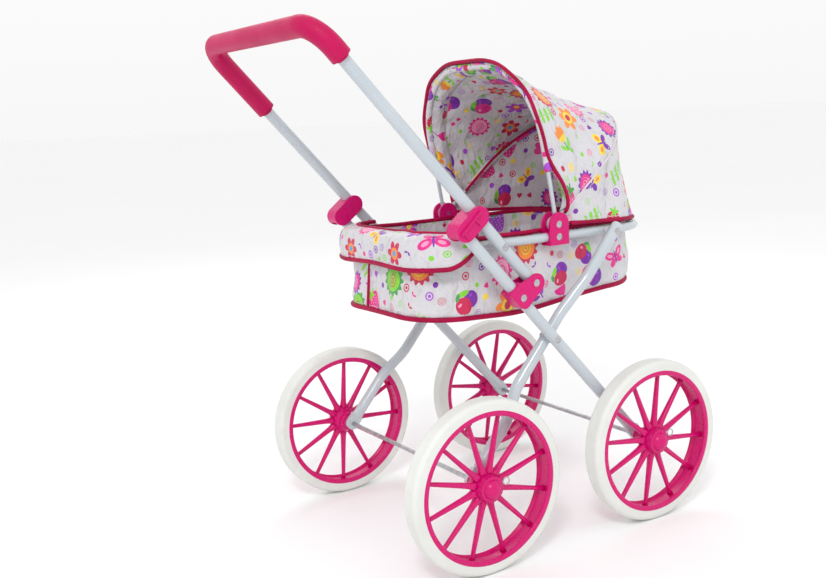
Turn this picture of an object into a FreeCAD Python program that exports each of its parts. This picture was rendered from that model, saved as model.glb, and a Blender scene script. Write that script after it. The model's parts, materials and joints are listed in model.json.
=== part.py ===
import FreeCAD, Part
import math
import os
from FreeCAD import Placement, Rotation, Vector

# Doll stroller. X runs forward from the push handle to the hood, Y is the stroller's left,
# Z is up and the tyres stand on Z = 0. All lengths are millimetres, all angles degrees.
# The side view is drawn from the centre of the rear axle: side_point() moves such a point
# into the object's frame.
SIZES = {
    # wheels and axles
    "rear_axle_x": -84.8,
    "wheel_base": 241.0,
    "tyre_radius": 95.0,
    "tyre_corner": 5.0,
    "rim_radius": 83.3,
    "rim_lip_radius": 77.8,
    "rim_floor_radius": 80.6,
    "rim_width": 22.6,
    "rim_lip_depth": 2.6,
    "rim_lip_slope": 1.2,
    "tyre_inset": 0.2,
    "wheel_side": 156.7,
    "hub_radius": 15.0,
    "hub_end_radius": 10.0,
    "hub_inner_depth": 15.7,
    "spoke_count": 12.0,
    "spoke_root_width": 7.2,
    "spoke_tip_width": 4.2,
    "spoke_depth": 6.0,
    "hub_inner_shoulder": 6.0,
    "hub_outer_shoulder": 5.0,
    "hub_taper": 2.0,
    "axle_radius": 2.5,
    "axle_clearance": 0.05,
    "axle_length": 344.0,
    "cap_radius": 14.0,
    "cap_height": 10.4,
    "cap_bore": 4.0,
    "cap_bore_depth": 6.0,
    "cap_flange": 2.0,
    "cap_dome_inset": 3.0,
    "cap_dome_rise": 2.6,
    "ring_radius": 4.0,
    "ring_wire": 0.6,
    "ring_reach": 19.4,
    "bush_radius": 9.0,
    "bush_width": 4.7,
    # legs and handle
    "tube_radius": 6.5,
    "tube_bore": 5.5,
    "paddle_depth": 5.6,
    "paddle_width": 16.0,
    "paddle_end": 12.0,
    "flare_end": 26.0,
    "leg_side": 133.0,
    "front_leg_angle": 132.0,
    "front_leg_length": 356.0,
    "rear_leg_length": 334.0,
    "rear_leg_cross_side": 118.5,
    "rear_leg_top_side": 127.0,
    "rear_leg_bend": 45.0,
    "rear_leg_in_start": 76.0,
    "rear_leg_in_end": 112.0,
    "rear_leg_out_start": 212.0,
    "rear_leg_out_end": 262.0,
    "arm_offset": 23.0,
    "arm_start": 244.0,
    "fold_station": 253.0,
    "cross_station": 183.0,
    "bracket_rivet_station": 254.5,
    "crossbar_station": 618.0,
    "handle_bend": 30.0,
    "grip_radius": 11.0,
    "grip_end_right": 575.0,
    "grip_end_left": 516.0,
    "plug_skirt": 4.5,
    "plug_crown": 2.4,
    "plug_taper": 1.6,
    # pink fittings
    "bracket_width": 18.0,
    "bracket_slot": 14.0,
    "bracket_nose": 10.5,
    "bracket_back": 9.5,
    "bracket_reach": 16.0,
    "clip_width": 21.0,
    "clip_slot": 13.8,
    "clip_radius": 11.0,
    "clip_tab_station": 361.0,
    "clip_tab_drop": 1.0,
    "clip_knob_station": 359.5,
    "clip_knob_drop": -21.5,
    "clip_roof": -9.0,
    "clip_web_station": 361.0,
    "clip_rib_depth": 2.6,
    # rivets
    "rivet_radius": 2.0,
    "rivet_head": 4.0,
    "rivet_dome": 1.6,
    "rivet_tail": 3.6,
    "washer_radius": 6.0,
    "spacer_radius": 4.5,
    "side_gap": 0.1,
    "rail_gap": 0.4,
    "pivot_clearance": 0.05,
    # basket
    "rail_height": 246.0,
    "rail_side": 110.0,
    "rail_radius": 5.0,
    "rail_corner": 50.0,
    "rail_foot_x": -22.0,
    "rail_head_x": 290.5,
    "basket_floor": 172.0,
    "basket_floor_foot_x": -24.0,
    "basket_floor_head_x": 288.0,
    "basket_floor_side": 102.2,
    "basket_floor_corner": 58.0,
    "basket_rim": 252.0,
    "basket_rim_foot_x": -15.5,
    "basket_rim_head_x": 284.0,
    "basket_rim_side": 101.0,
    "basket_rim_corner": 50.0,
    "basket_wall": 2.0,
    "basket_base": 3.0,
    "board_foot_x": -17.0,
    "board_head_x": 281.0,
    "board_side": 95.2,
    "board_corner": 50.0,
    "board_lift": 0.4,
    "board_depth": 3.0,
    "apron_hem": 226.0,
    "apron_top": 252.6,
    "apron_end_x": 29.0,
    "apron_side": 118.1,
    "apron_wall": 2.4,
    "apron_lip": 24.0,
    # hood
    "hood_pivot_x": 142.0,
    "hood_pivot_height": 260.0,
    "hoop_radius": 2.4,
    "front_hoop_side": 112.6,
    "front_hoop_reach": 181.0,
    "front_hoop_corner": 88.0,
    "front_hoop_angle": 99.6,
    "mid_hoop_side": 107.4,
    "mid_hoop_reach": 186.0,
    "mid_hoop_corner": 103.0,
    "mid_hoop_angle": 40.0,
    "eyelet_radius": 8.0,
    "eyelet_half_depth": 2.1,
    "hood_cloth": 2.0,
    "cloth_gap": 0.4,
    "cover_start": 25.0,
    "front_cover_angle": 100.9,
    "front_cover_reach": 190.0,
    "front_cover_corner": 93.0,
    "mid_cover_reach": 192.4,
    "mid_cover_corner": 108.6,
    "mid_cover_gap": 0.3,
    "head_cover_side": 114.0,
    "head_cover_reach": 152.0,
    "head_cover_corner": 62.0,
    "head_cover_angle": -2.0,
    "saddle_outer": 118.0,
    "saddle_inner": 102.0,
    "saddle_slot_outer": 115.3,
    "saddle_slot_inner": 104.7,
    "saddle_half_width": 13.5,
    "saddle_drop": 9.0,
    "saddle_slot_low": 5.4,
}

DOC = FreeCAD.newDocument("DollStroller")
SHEET = DOC.addObject("Spreadsheet::Sheet", "Sizes")
for row, (alias, value) in enumerate(SIZES.items(), start=1):
    SHEET.set("A%d" % row, alias)
    SHEET.set("B%d" % row, str(value))
    SHEET.setAlias("B%d" % row, alias)
DOC.recompute()

SIDES = {"left": 1.0, "right": -1.0}
SUB_PARTS = []
OVERSHOOT = 1.0


def size(alias):
    return float(SHEET.get(alias))


def side_point(x, y, z):
    """A point of the side view, measured from the rear axle, in the object's frame."""
    return Vector(x + size("rear_axle_x"), y, z + size("tyre_radius"))


def turned(point, angle):
    """Frame at a point whose X axis leaves along the given angle in the side view."""
    return Placement(point, Rotation(Vector(0, 1, 0), -angle))


# ------------------------------------------------------------------ document helpers
def keep(obj, label):
    obj.Label = label
    SUB_PARTS.append(obj)
    return obj


def new_body(label):
    return keep(DOC.addObject("PartDesign::Body", label), label)


def origin_item(body, role):
    return [item for item in body.Origin.OriginFeatures if item.Role == role][0]


def new_sketch(body, role, geometry, lift=0.0):
    """Sketch on one of the body's origin planes, lifted along the plane's normal."""
    sketch = body.newObject("Sketcher::SketchObject", body.Name + "_sketch")
    sketch.AttachmentSupport = [(origin_item(body, role), "")]
    sketch.MapMode = "FlatFace"
    sketch.AttachmentOffset = Placement(Vector(0, 0, lift), Rotation())
    sketch.addGeometry(geometry, False)
    return sketch


def pad(body, sketch, length, symmetric=False):
    feature = body.newObject("PartDesign::Pad", body.Name + "_pad")
    feature.Profile = sketch
    feature.setExpression("Length", length)
    if symmetric:
        feature.SideType = "Symmetric"
    return feature


def pocket(body, sketch, length, symmetric=False, reversed_way=False):
    feature = body.newObject("PartDesign::Pocket", body.Name + "_pocket")
    feature.Profile = sketch
    feature.setExpression("Length", length)
    feature.Reversed = reversed_way
    if symmetric:
        feature.SideType = "Symmetric"
    return feature


def revolve(body, sketch):
    feature = body.newObject("PartDesign::Revolution", body.Name + "_turned")
    feature.Profile = sketch
    feature.ReferenceAxis = (sketch, ["V_Axis"])
    feature.Angle = 360.0
    return feature


def pipe(body, profile, spine):
    feature = body.newObject("PartDesign::AdditivePipe", body.Name + "_pipe")
    feature.Profile = profile
    feature.Spine = (spine, ["Edge%d" % (n + 1) for n in range(spine.GeometryCount)])
    return feature


def feature_from(shape, label):
    obj = DOC.addObject("Part::Feature", label)
    obj.Shape = shape
    return keep(obj, label)


# ------------------------------------------------------------------ outline helpers
def polygon(points):
    """Closed outline of straight lines through (x, y) points."""
    corners = [Vector(x, y, 0) for x, y in points]
    return [Part.LineSegment(corners[n], corners[(n + 1) % len(corners)]) for n in range(len(corners))]


def circle(x, y, radius):
    return [Part.Circle(Vector(x, y, 0), Vector(0, 0, 1), radius)]


def arc_through(start, middle, end):
    return Part.Arc(Vector(*start), Vector(*middle), Vector(*end))


def filleted_path(points, radius, closed=False):
    """Straight runs through the points, joined by tangent arcs of the given radius."""
    corners = [Vector(*p) for p in points]
    count = len(corners)
    pieces = []
    last = None
    first = None
    turns = range(count) if closed else range(1, count - 1)
    if not closed:
        last = corners[0]
    for n in turns:
        corner = corners[n]
        to_back = (corners[n - 1] - corner).normalize()
        to_next = (corners[(n + 1) % count] - corner).normalize()
        half = math.radians(180.0) - to_back.getAngle(to_next)
        cut = radius * math.tan(half / 2)
        start = corner + to_back * cut
        end = corner + to_next * cut
        inward = (to_back + to_next).normalize()
        middle = corner + inward * (radius / math.cos(half / 2) - radius)
        if last is not None:
            pieces.append(Part.LineSegment(last, start))
        else:
            first = start
        pieces.append(Part.Arc(start, middle, end))
        last = end
    pieces.append(Part.LineSegment(last, first if closed else corners[-1]))
    return pieces


def rounded_rectangle(x_low, x_high, half_width, corner):
    """Rounded rectangle in plan, symmetric about the X axis."""
    right = [(x_low, -half_width, 0), (x_high, -half_width, 0)]
    left = [(x_high, half_width, 0), (x_low, half_width, 0)]
    return filleted_path(right + left, corner, closed=True)


def wire_of(pieces):
    return Part.Wire([piece.toShape() for piece in pieces])


def swept_rod(pieces, radius):
    """Round rod along a path that starts on its first piece."""
    path = wire_of(pieces)
    start = pieces[0].StartPoint
    heading = (pieces[0].EndPoint - pieces[0].StartPoint).normalize()
    profile = Part.Wire([Part.Circle(start, heading, radius).toShape()])
    return path.makePipeShell([profile], True, False)


# ------------------------------------------------------------------ places in the side view
LEG_ANGLE = size("front_leg_angle")
LEG_AXIS = Vector(math.cos(math.radians(LEG_ANGLE)), 0, math.sin(math.radians(LEG_ANGLE)))
ARM_SHIFT = Vector(LEG_AXIS.z, 0, -LEG_AXIS.x)


def leg_point(station, rise=0.0, y=0.0):
    """Point at a distance up the front leg from its axle, and at a rise square to the leg."""
    from_axle = LEG_AXIS * station + ARM_SHIFT * rise
    return side_point(size("wheel_base") + from_axle.x, y, from_axle.z)


FOLD_PIVOT = leg_point(size("fold_station"), size("arm_offset"))
CROSS_PIVOT = leg_point(size("cross_station"))
REAR_AXLE = side_point(0, 0, 0)
REAR_LEG_AXIS = (CROSS_PIVOT - REAR_AXLE).normalize()
REAR_LEG_ANGLE = math.degrees(math.atan2(REAR_LEG_AXIS.z, REAR_LEG_AXIS.x))
CROSS_REACH = (CROSS_PIVOT - REAR_AXLE).Length
HEAD_REACH = size("rail_height") / REAR_LEG_AXIS.z
HEAD_PIVOT = REAR_AXLE + REAR_LEG_AXIS * HEAD_REACH
ARM_RISE_START = ARM_SHIFT.z * size("arm_offset")
RAIL_STATION = (size("rail_height") - ARM_RISE_START) / LEG_AXIS.z
RAIL_PIVOT = leg_point(RAIL_STATION, size("arm_offset"))
HOOD_PIVOT = side_point(size("hood_pivot_x"), 0, size("hood_pivot_height"))


def leg_frame(side_y, rise=0.0):
    """Frame on the front leg's axle: X up the leg, Y to the left, Z away from the handle arm."""
    return turned(leg_point(0, rise, side_y), LEG_ANGLE)


# ------------------------------------------------------------------ tubes
def add_paddle(body, reach):
    """Flattened foot of a tube, with its axle hole, that grows into the round tube at reach."""
    tube = size("tube_radius")
    half_depth = size("paddle_depth") / 2
    half_width = size("paddle_width") / 2
    end = size("paddle_end")
    oval = Part.Ellipse(Vector(0, half_width, 0), Vector(-half_depth, 0, 0), Vector(0, 0, 0))
    flat_end = new_sketch(body, "YZ_Plane", [oval], half_width)
    round_end = new_sketch(body, "YZ_Plane", circle(0, 0, tube), reach)
    loft = body.newObject("PartDesign::AdditiveLoft", body.Name + "_flare")
    loft.Profile = round_end
    loft.Sections = [flat_end]
    flat = new_sketch(body, "XZ_Plane", [
        arc_through((0, half_width, 0), (-half_width, 0, 0), (0, -half_width, 0)),
        Part.LineSegment(Vector(0, -half_width, 0), Vector(end, -half_width, 0)),
        Part.LineSegment(Vector(end, -half_width, 0), Vector(end, half_width, 0)),
        Part.LineSegment(Vector(end, half_width, 0), Vector(0, half_width, 0)),
    ])
    pad(body, flat, "Sizes.paddle_depth", symmetric=True)


def drill(body, role, x, y, alias, through="Sizes.axle_length"):
    """Round hole square through the body on both sides of the plane."""
    hole = new_sketch(body, role, circle(x, y, size(alias)))
    return pocket(body, hole, through, symmetric=True)


def make_front_leg(name, sign):
    body = new_body("front_leg_" + name)
    flare = size("flare_end")
    shank = new_sketch(body, "YZ_Plane", circle(0, 0, size("tube_radius")), flare)
    pad(body, shank, "Sizes.front_leg_length - Sizes.flare_end")
    add_paddle(body, flare)
    bore = new_sketch(body, "YZ_Plane", circle(0, 0, size("tube_bore")), size("front_leg_length"))
    pocket(body, bore, "Sizes.front_leg_length - Sizes.flare_end - 4")
    drill(body, "XZ_Plane", 0, 0, "axle_radius")
    drill(body, "XZ_Plane", size("cross_station"), 0, "rivet_radius")
    drill(body, "XZ_Plane", size("bracket_rivet_station"), 0, "rivet_radius")
    body.Placement = leg_frame(sign * size("leg_side"))


def rear_leg_route(sign):
    """Centreline in the leg's own plane: in beside the front leg at the crossing, out again."""
    foot = size("leg_side")
    cross = size("rear_leg_cross_side")
    top = size("rear_leg_top_side")
    stations = [
        (size("flare_end"), foot),
        (size("rear_leg_in_start"), foot),
        (size("rear_leg_in_end"), cross),
        (size("rear_leg_out_start"), cross),
        (size("rear_leg_out_end"), top),
        (size("rear_leg_length"), top),
    ]
    return [(station, sign * (y - foot), 0) for station, y in stations]


def make_rear_leg(name, sign):
    body = new_body("rear_leg_" + name)
    flare = size("flare_end")
    spine = new_sketch(body, "XY_Plane", filleted_path(rear_leg_route(sign), size("rear_leg_bend")))
    ring = new_sketch(body, "YZ_Plane", circle(0, 0, size("tube_radius")), flare)
    pipe(body, ring, spine)
    add_paddle(body, flare)
    top_side = sign * (size("rear_leg_top_side") - size("leg_side"))
    bore = new_sketch(body, "YZ_Plane", circle(top_side, 0, size("tube_bore")), size("rear_leg_length"))
    pocket(body, bore, "Sizes.tube_radius * 9")
    drill(body, "XZ_Plane", 0, 0, "axle_radius")
    running = size("rivet_radius") + size("pivot_clearance")
    cross_hole = new_sketch(body, "XZ_Plane", circle(CROSS_REACH, 0, running))
    pocket(body, cross_hole, "Sizes.axle_length", symmetric=True)
    drill(body, "XZ_Plane", HEAD_REACH, 0, "rivet_radius")
    body.Placement = turned(side_point(0, sign * size("leg_side"), 0), REAR_LEG_ANGLE)


def handle_route(start_right, start_left):
    side = size("leg_side")
    top = size("crossbar_station")
    return [(start_right, -side, 0), (top, -side, 0), (top, side, 0), (start_left, side, 0)]


def make_handle():
    body = new_body("push_handle")
    start = size("arm_start")
    route = filleted_path(handle_route(start, start), size("handle_bend"))
    spine = new_sketch(body, "XY_Plane", route)
    ring = new_sketch(body, "YZ_Plane", circle(-size("leg_side"), 0, size("tube_radius")), start)
    pipe(body, ring, spine)
    running = size("rivet_radius") + size("pivot_clearance")
    fold_hole = new_sketch(body, "XZ_Plane", circle(size("fold_station"), 0, running))
    pocket(body, fold_hole, "Sizes.axle_length", symmetric=True)
    drill(body, "XZ_Plane", RAIL_STATION, 0, "rivet_radius")
    for sign in SIDES.values():
        bore = new_sketch(body, "YZ_Plane", circle(sign * size("leg_side"), 0, size("tube_bore")), start)
        straight = "Sizes.crossbar_station - Sizes.arm_start - 2 * Sizes.handle_bend"
        pocket(body, bore, straight, reversed_way=True)
    body.Placement = leg_frame(0, size("arm_offset"))


def make_grip():
    route = filleted_path(handle_route(size("grip_end_right"), size("grip_end_left")), size("handle_bend"))
    foam = swept_rod(route, size("grip_radius")).cut(swept_rod(route, size("tube_radius")))
    grip = feature_from(foam, "foam_grip")
    grip.Placement = leg_frame(0, size("arm_offset"))


# ------------------------------------------------------------------ fold brackets and clips
def make_fold_bracket(name, sign):
    """Sleeve on the front leg with two cheeks that carry the handle arm's pivot."""
    body = new_body("fold_bracket_" + name)
    rise = -size("arm_offset")
    nose = size("bracket_nose")
    pivot = size("fold_station")
    low = pivot - nose
    high = size("bracket_rivet_station") + size("bracket_reach")
    back = size("bracket_back")
    round_in = 8.0
    bend = round_in * (1 - math.sqrt(0.5))
    sleeve_top = -5.0
    outline = [
        Part.LineSegment(Vector(high, back, 0), Vector(low + round_in, back, 0)),
        arc_through((low + round_in, back, 0), (low + bend, back - bend, 0), (low, back - round_in, 0)),
        Part.LineSegment(Vector(low, back - round_in, 0), Vector(low, rise, 0)),
        arc_through((low, rise, 0), (pivot, rise - nose, 0), (pivot + nose, rise, 0)),
        Part.LineSegment(Vector(pivot + nose, rise, 0), Vector(high, sleeve_top, 0)),
        Part.LineSegment(Vector(high, sleeve_top, 0), Vector(high, back, 0)),
    ]
    pad(body, new_sketch(body, "XZ_Plane", outline), "Sizes.bracket_width", symmetric=True)
    slot_floor = -9.2
    slot_top = rise - 1.5 * nose
    slot = polygon([(low - OVERSHOOT, slot_floor), (high + OVERSHOOT, slot_floor),
                    (high + OVERSHOOT, slot_top), (low - OVERSHOOT, slot_top)])
    pocket(body, new_sketch(body, "XZ_Plane", slot), "Sizes.bracket_slot", symmetric=True)
    drill(body, "YZ_Plane", 0, 0, "tube_radius", "Sizes.front_leg_length * 2")
    drill(body, "XZ_Plane", pivot, rise, "rivet_radius")
    drill(body, "XZ_Plane", size("bracket_rivet_station"), 0, "rivet_radius")
    body.Placement = leg_frame(sign * size("leg_side"))


def make_clip(name, sign):
    """Clip on the handle arm whose jaw caps the top end of the front leg, ribbed outside."""
    body = new_body("upper_clip_" + name)
    radius = size("clip_radius")
    tab = Vector(size("clip_tab_station"), size("clip_tab_drop"), 0)
    knob = Vector(size("clip_knob_station"), size("clip_knob_drop"), 0)
    along = (knob - tab).normalize()
    across = Vector(-along.y, along.x, 0) * radius
    outline = [
        Part.LineSegment(tab + across, knob + across),
        Part.Arc(knob + across, knob + along * radius, knob - across),
        Part.LineSegment(knob - across, tab - across),
        Part.Arc(tab - across, tab - along * radius, tab + across),
    ]
    pad(body, new_sketch(body, "XZ_Plane", outline), "Sizes.clip_width", symmetric=True)
    roof = size("clip_roof")
    web = size("clip_web_station")
    far = radius * 4
    jaw = polygon([(tab.x - far, roof), (web, roof), (web, far), (tab.x - far, far)])
    pocket(body, new_sketch(body, "XZ_Plane", jaw), "Sizes.clip_slot", symmetric=True)
    arm = new_sketch(body, "YZ_Plane", circle(0, -size("arm_offset"), size("tube_radius")))
    pocket(body, arm, "Sizes.front_leg_length * 3", symmetric=True)
    spine_low = web + 1.0
    spine_high = web + 4.0
    rib_foot = web - 7.5
    rib_half = 1.0
    upper_rib = roof + 14.0
    lower_rib = roof - 6.0
    ends = (roof - 17.0, roof + 17.5)
    comb = polygon([
        (spine_high, ends[0]), (spine_high, ends[1]), (spine_low, ends[1]),
        (spine_low, upper_rib + rib_half), (rib_foot, upper_rib + rib_half),
        (rib_foot, upper_rib - rib_half), (spine_low, upper_rib - rib_half),
        (spine_low, lower_rib + rib_half), (rib_foot, lower_rib + rib_half),
        (rib_foot, lower_rib - rib_half), (spine_low, lower_rib - rib_half),
        (spine_low, ends[0]),
    ])
    sunk = 0.5
    rib_sketch = new_sketch(body, "XZ_Plane", comb, -sign * (size("clip_width") / 2 - sunk))
    rib_pad = pad(body, rib_sketch, "Sizes.clip_rib_depth")
    rib_pad.Reversed = sign > 0
    body.Placement = leg_frame(sign * size("leg_side"))


# ------------------------------------------------------------------ rivets, plugs and bushes
def rivet(inner_y, outer_y, sign, point, inner_head=True):
    """Pin along Y between two faces with a domed head outside, and one inside if asked."""
    pin_radius = size("rivet_radius")
    head = size("rivet_head")
    dome = size("rivet_dome")
    ball = (head * head + dome * dome) / (2 * dome)
    pin = Part.makeCylinder(pin_radius, outer_y - inner_y, Vector(0, 0, inner_y))
    cap = Part.makeSphere(ball, Vector(0, 0, outer_y + dome - ball))
    outer_slab = Part.makeCylinder(head, dome, Vector(0, 0, outer_y))
    shape = pin.fuse(cap.common(outer_slab))
    if inner_head:
        tail_depth = dome * 0.8
        tail = Part.makeCylinder(size("rivet_tail"), tail_depth, Vector(0, 0, inner_y - tail_depth))
        shape = shape.fuse(tail)
    turn = Rotation(Vector(1, 0, 0), -90.0 * sign)
    shape.Placement = Placement(Vector(point.x, 0, point.z), turn)
    return shape.removeSplitter()


def collar(inner_y, outer_y, radius, bore, sign, point):
    """Round spacer along Y with a bore."""
    ring = Part.makeCylinder(radius, outer_y - inner_y, Vector(0, 0, inner_y))
    ring = ring.cut(Part.makeCylinder(bore, outer_y - inner_y + 2, Vector(0, 0, inner_y - 1)))
    ring.Placement = Placement(Vector(point.x, 0, point.z), Rotation(Vector(1, 0, 0), -90.0 * sign))
    return ring


def group(shapes, label):
    return feature_from(Part.makeCompound(shapes), label)


def make_rivets():
    leg = size("leg_side")
    tube = size("tube_radius")
    rail_outer = size("rail_side") + size("rail_radius")
    rail_inner = size("rail_side") - size("rail_radius")
    pin = size("rivet_radius")
    half_bracket = size("bracket_width") / 2
    signs = SIDES.values()
    gap = size("side_gap")
    rail_gap = size("rail_gap")
    cross = size("rear_leg_cross_side")
    top = size("rear_leg_top_side")
    washer = size("washer_radius")
    spacer = size("spacer_radius")
    sleeve_point = leg_point(size("bracket_rivet_station"))
    sleeve_rivets = [rivet(leg - half_bracket, leg + half_bracket, sign, sleeve_point) for sign in signs]
    fold_rivets = [rivet(leg - half_bracket, leg + half_bracket, sign, FOLD_PIVOT) for sign in signs]
    group(sleeve_rivets + fold_rivets, "bracket_rivets")
    group([rivet(cross - tube - gap, leg + tube, sign, CROSS_PIVOT) for sign in signs], "cross_rivets")
    group([rivet(rail_inner - gap, leg + tube, sign, RAIL_PIVOT) for sign in signs], "rail_rivets")
    head_rivets = [rivet(rail_outer + rail_gap, top + tube, sign, HEAD_PIVOT, False) for sign in signs]
    group(head_rivets, "head_rivets")
    collars = {
        "cross_washers": (cross + tube + gap, leg - tube, washer, CROSS_PIVOT),
        "rail_spacers": (rail_outer + rail_gap, leg - tube, spacer, RAIL_PIVOT),
        "head_spacers": (rail_outer + rail_gap, top - tube, spacer, HEAD_PIVOT),
    }
    for label, (inner, outer, radius, point) in collars.items():
        group([collar(inner, outer, radius, pin, sign, point) for sign in signs], label)


def plug(point, angle, sign_y):
    """Moulded end cap of a tube: a skirt inside the bore and a low rounded crown."""
    tube = size("tube_radius")
    depth = size("plug_skirt")
    crown = Part.makeCone(tube, tube - size("plug_taper"), size("plug_crown"))
    skirt = Part.makeCylinder(size("tube_bore"), depth, Vector(0, 0, -depth))
    shape = crown.fuse(skirt).removeSplitter()
    shape.Placement = Placement(Vector(point.x, sign_y, point.z), Rotation(Vector(0, 1, 0), 90.0 - angle))
    return shape


def make_plugs():
    leg_top = leg_point(size("front_leg_length"))
    leg = size("leg_side")
    top = size("rear_leg_top_side")
    signs = SIDES.values()
    group([plug(leg_top, LEG_ANGLE, sign * leg) for sign in signs], "front_leg_plugs")
    rear_top = REAR_AXLE + REAR_LEG_AXIS * size("rear_leg_length")
    group([plug(rear_top, REAR_LEG_ANGLE, sign * top) for sign in signs], "rear_leg_plugs")
    arm_foot = leg_point(size("arm_start"), size("arm_offset"))
    group([plug(arm_foot, LEG_ANGLE + 180.0, sign * leg) for sign in signs], "handle_plugs")


def make_axle(label, x):
    rod = keep(DOC.addObject("Part::Cylinder", label), label)
    rod.setExpression("Radius", "Sizes.axle_radius")
    rod.setExpression("Height", "Sizes.axle_length")
    rod.Placement = Placement(side_point(x, -size("axle_length") / 2, 0), Rotation(Vector(1, 0, 0), -90.0))


def make_bushes(label, x):
    inner = size("leg_side") + size("paddle_depth") / 2 + size("side_gap")
    outer = inner + size("bush_width")
    radius = size("bush_radius")
    bore = size("axle_radius")
    point = side_point(x, 0, 0)
    group([collar(inner, outer, radius, bore, sign, point) for sign in SIDES.values()], label)


# ------------------------------------------------------------------ wheels
def wheel_frame(x, sign, turn):
    """Wheel frame: Z along the axle and outward, turned about the axle."""
    outward = Rotation(Vector(1, 0, 0), -90.0 * sign)
    return Placement(side_point(x, sign * size("wheel_side"), 0), outward * Rotation(Vector(0, 0, 1), turn))


def make_rim(name, frame):
    """Channel-shaped rim that the tyre sits on."""
    body = new_body("wheel_rim_" + name)
    half = size("rim_width") / 2
    lip = size("rim_lip_radius")
    floor = size("rim_floor_radius")
    edge = half - size("rim_lip_depth")
    slope = size("rim_lip_slope")
    rim = polygon([(lip, -half), (size("rim_radius"), -half), (size("rim_radius"), half), (lip, half),
                   (lip, edge), (floor, edge - slope), (floor, slope - edge), (lip, -edge)])
    revolve(body, new_sketch(body, "XZ_Plane", rim))
    body.Placement = frame


def make_spokes(name, frame):
    """Hub and tapered spokes, each its own convex solid that meets the hub and the rim's floor."""
    half = size("rim_width") / 2
    hub = size("hub_radius")
    floor = size("rim_floor_radius")
    hub_end = size("hub_end_radius")
    hub_length = half + size("hub_inner_depth")
    shoulder = size("hub_inner_shoulder")
    cap_seat = size("hub_outer_shoulder")
    bore = Part.makeCylinder(size("axle_radius") + size("axle_clearance"), hub_length,
                             Vector(0, 0, -size("hub_inner_depth")))
    inner_cone = Part.makeCone(hub_end, hub, size("hub_inner_depth") - shoulder,
                               Vector(0, 0, -size("hub_inner_depth")))
    barrel = Part.makeCylinder(hub, shoulder + cap_seat, Vector(0, 0, -shoulder))
    outer_cone = Part.makeCone(hub, hub - size("hub_taper"), half - cap_seat, Vector(0, 0, cap_seat))
    solids = [inner_cone.fuse([barrel, outer_cone]).removeSplitter().cut(bore)]
    depth = size("spoke_depth")
    root = size("spoke_root_width") / 2
    tip = size("spoke_tip_width") / 2
    outline = [Vector(0, -root, -depth / 2), Vector(floor + OVERSHOOT, -tip, -depth / 2),
               Vector(floor + OVERSHOOT, tip, -depth / 2), Vector(0, root, -depth / 2)]
    blade = Part.Face(Part.makePolygon(outline + outline[:1])).extrude(Vector(0, 0, depth))
    span = Part.makeCylinder(floor, depth, Vector(0, 0, -depth / 2))
    blade = blade.common(span.cut(Part.makeCylinder(hub, depth, Vector(0, 0, -depth / 2))))
    count = int(size("spoke_count"))
    for n in range(count):
        solids.append(blade.rotated(Vector(0, 0, 0), Vector(0, 0, 1), 360.0 / count * n))
    group(solids, "wheel_spokes_" + name).Placement = frame


def make_tyre(name, frame):
    body = new_body("tyre_" + name)
    half = size("rim_width") / 2 - size("tyre_inset")
    corner = size("tyre_corner")
    outer = size("tyre_radius")
    inner = size("rim_radius")
    bend = corner * (1 - math.sqrt(0.5))
    shoulder = outer - corner
    profile = [
        Part.LineSegment(Vector(inner, -half, 0), Vector(shoulder, -half, 0)),
        arc_through((shoulder, -half, 0), (outer - bend, bend - half, 0), (outer, corner - half, 0)),
        Part.LineSegment(Vector(outer, corner - half, 0), Vector(outer, half - corner, 0)),
        arc_through((outer, half - corner, 0), (outer - bend, half - bend, 0), (shoulder, half, 0)),
        Part.LineSegment(Vector(shoulder, half, 0), Vector(inner, half, 0)),
        Part.LineSegment(Vector(inner, half, 0), Vector(inner, -half, 0)),
    ]
    revolve(body, new_sketch(body, "XZ_Plane", profile))
    body.Placement = frame


def make_cap(name, frame):
    """Domed hub cap with a flange, hollow over the axle's end."""
    body = new_body("hub_cap_" + name)
    seat = size("rim_width") / 2
    radius = size("cap_radius")
    top = seat + size("cap_height")
    bore = size("cap_bore")
    roof = seat + size("cap_bore_depth")
    flange = seat + size("cap_flange")
    edge = radius - size("cap_dome_inset")
    edge_height = seat + size("cap_dome_rise")
    rise = top - edge_height
    ball = (edge * edge + rise * rise) / (2 * rise)
    half_turn = math.asin(edge / ball) / 2
    middle = (ball * math.sin(half_turn), top - ball + ball * math.cos(half_turn), 0)
    profile = [
        Part.LineSegment(Vector(bore, seat, 0), Vector(radius, seat, 0)),
        Part.LineSegment(Vector(radius, seat, 0), Vector(radius, flange, 0)),
        Part.LineSegment(Vector(radius, flange, 0), Vector(edge, edge_height, 0)),
        arc_through((edge, edge_height, 0), middle, (0, top, 0)),
        Part.LineSegment(Vector(0, top, 0), Vector(0, roof, 0)),
        Part.LineSegment(Vector(0, roof, 0), Vector(bore, roof, 0)),
        Part.LineSegment(Vector(bore, roof, 0), Vector(bore, seat, 0)),
    ]
    revolve(body, new_sketch(body, "XZ_Plane", profile))
    body.Placement = frame


def make_ring_pin(name, frame):
    """Wire ring on a short stem that locks the hub cap."""
    height = size("rim_width") / 2 + 1.0
    reach = size("ring_reach")
    ring = Part.makeTorus(size("ring_radius"), size("ring_wire"), Vector(reach, 0, height))
    stem_end = reach - size("ring_radius")
    stem_start = size("cap_radius")
    stem = Part.makeCylinder(size("ring_wire"), stem_end - stem_start, Vector(stem_start, 0, height),
                             Vector(1, 0, 0))
    pin = feature_from(ring.fuse(stem).removeSplitter(), "ring_pin_" + name)
    pin.Placement = frame


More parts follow.
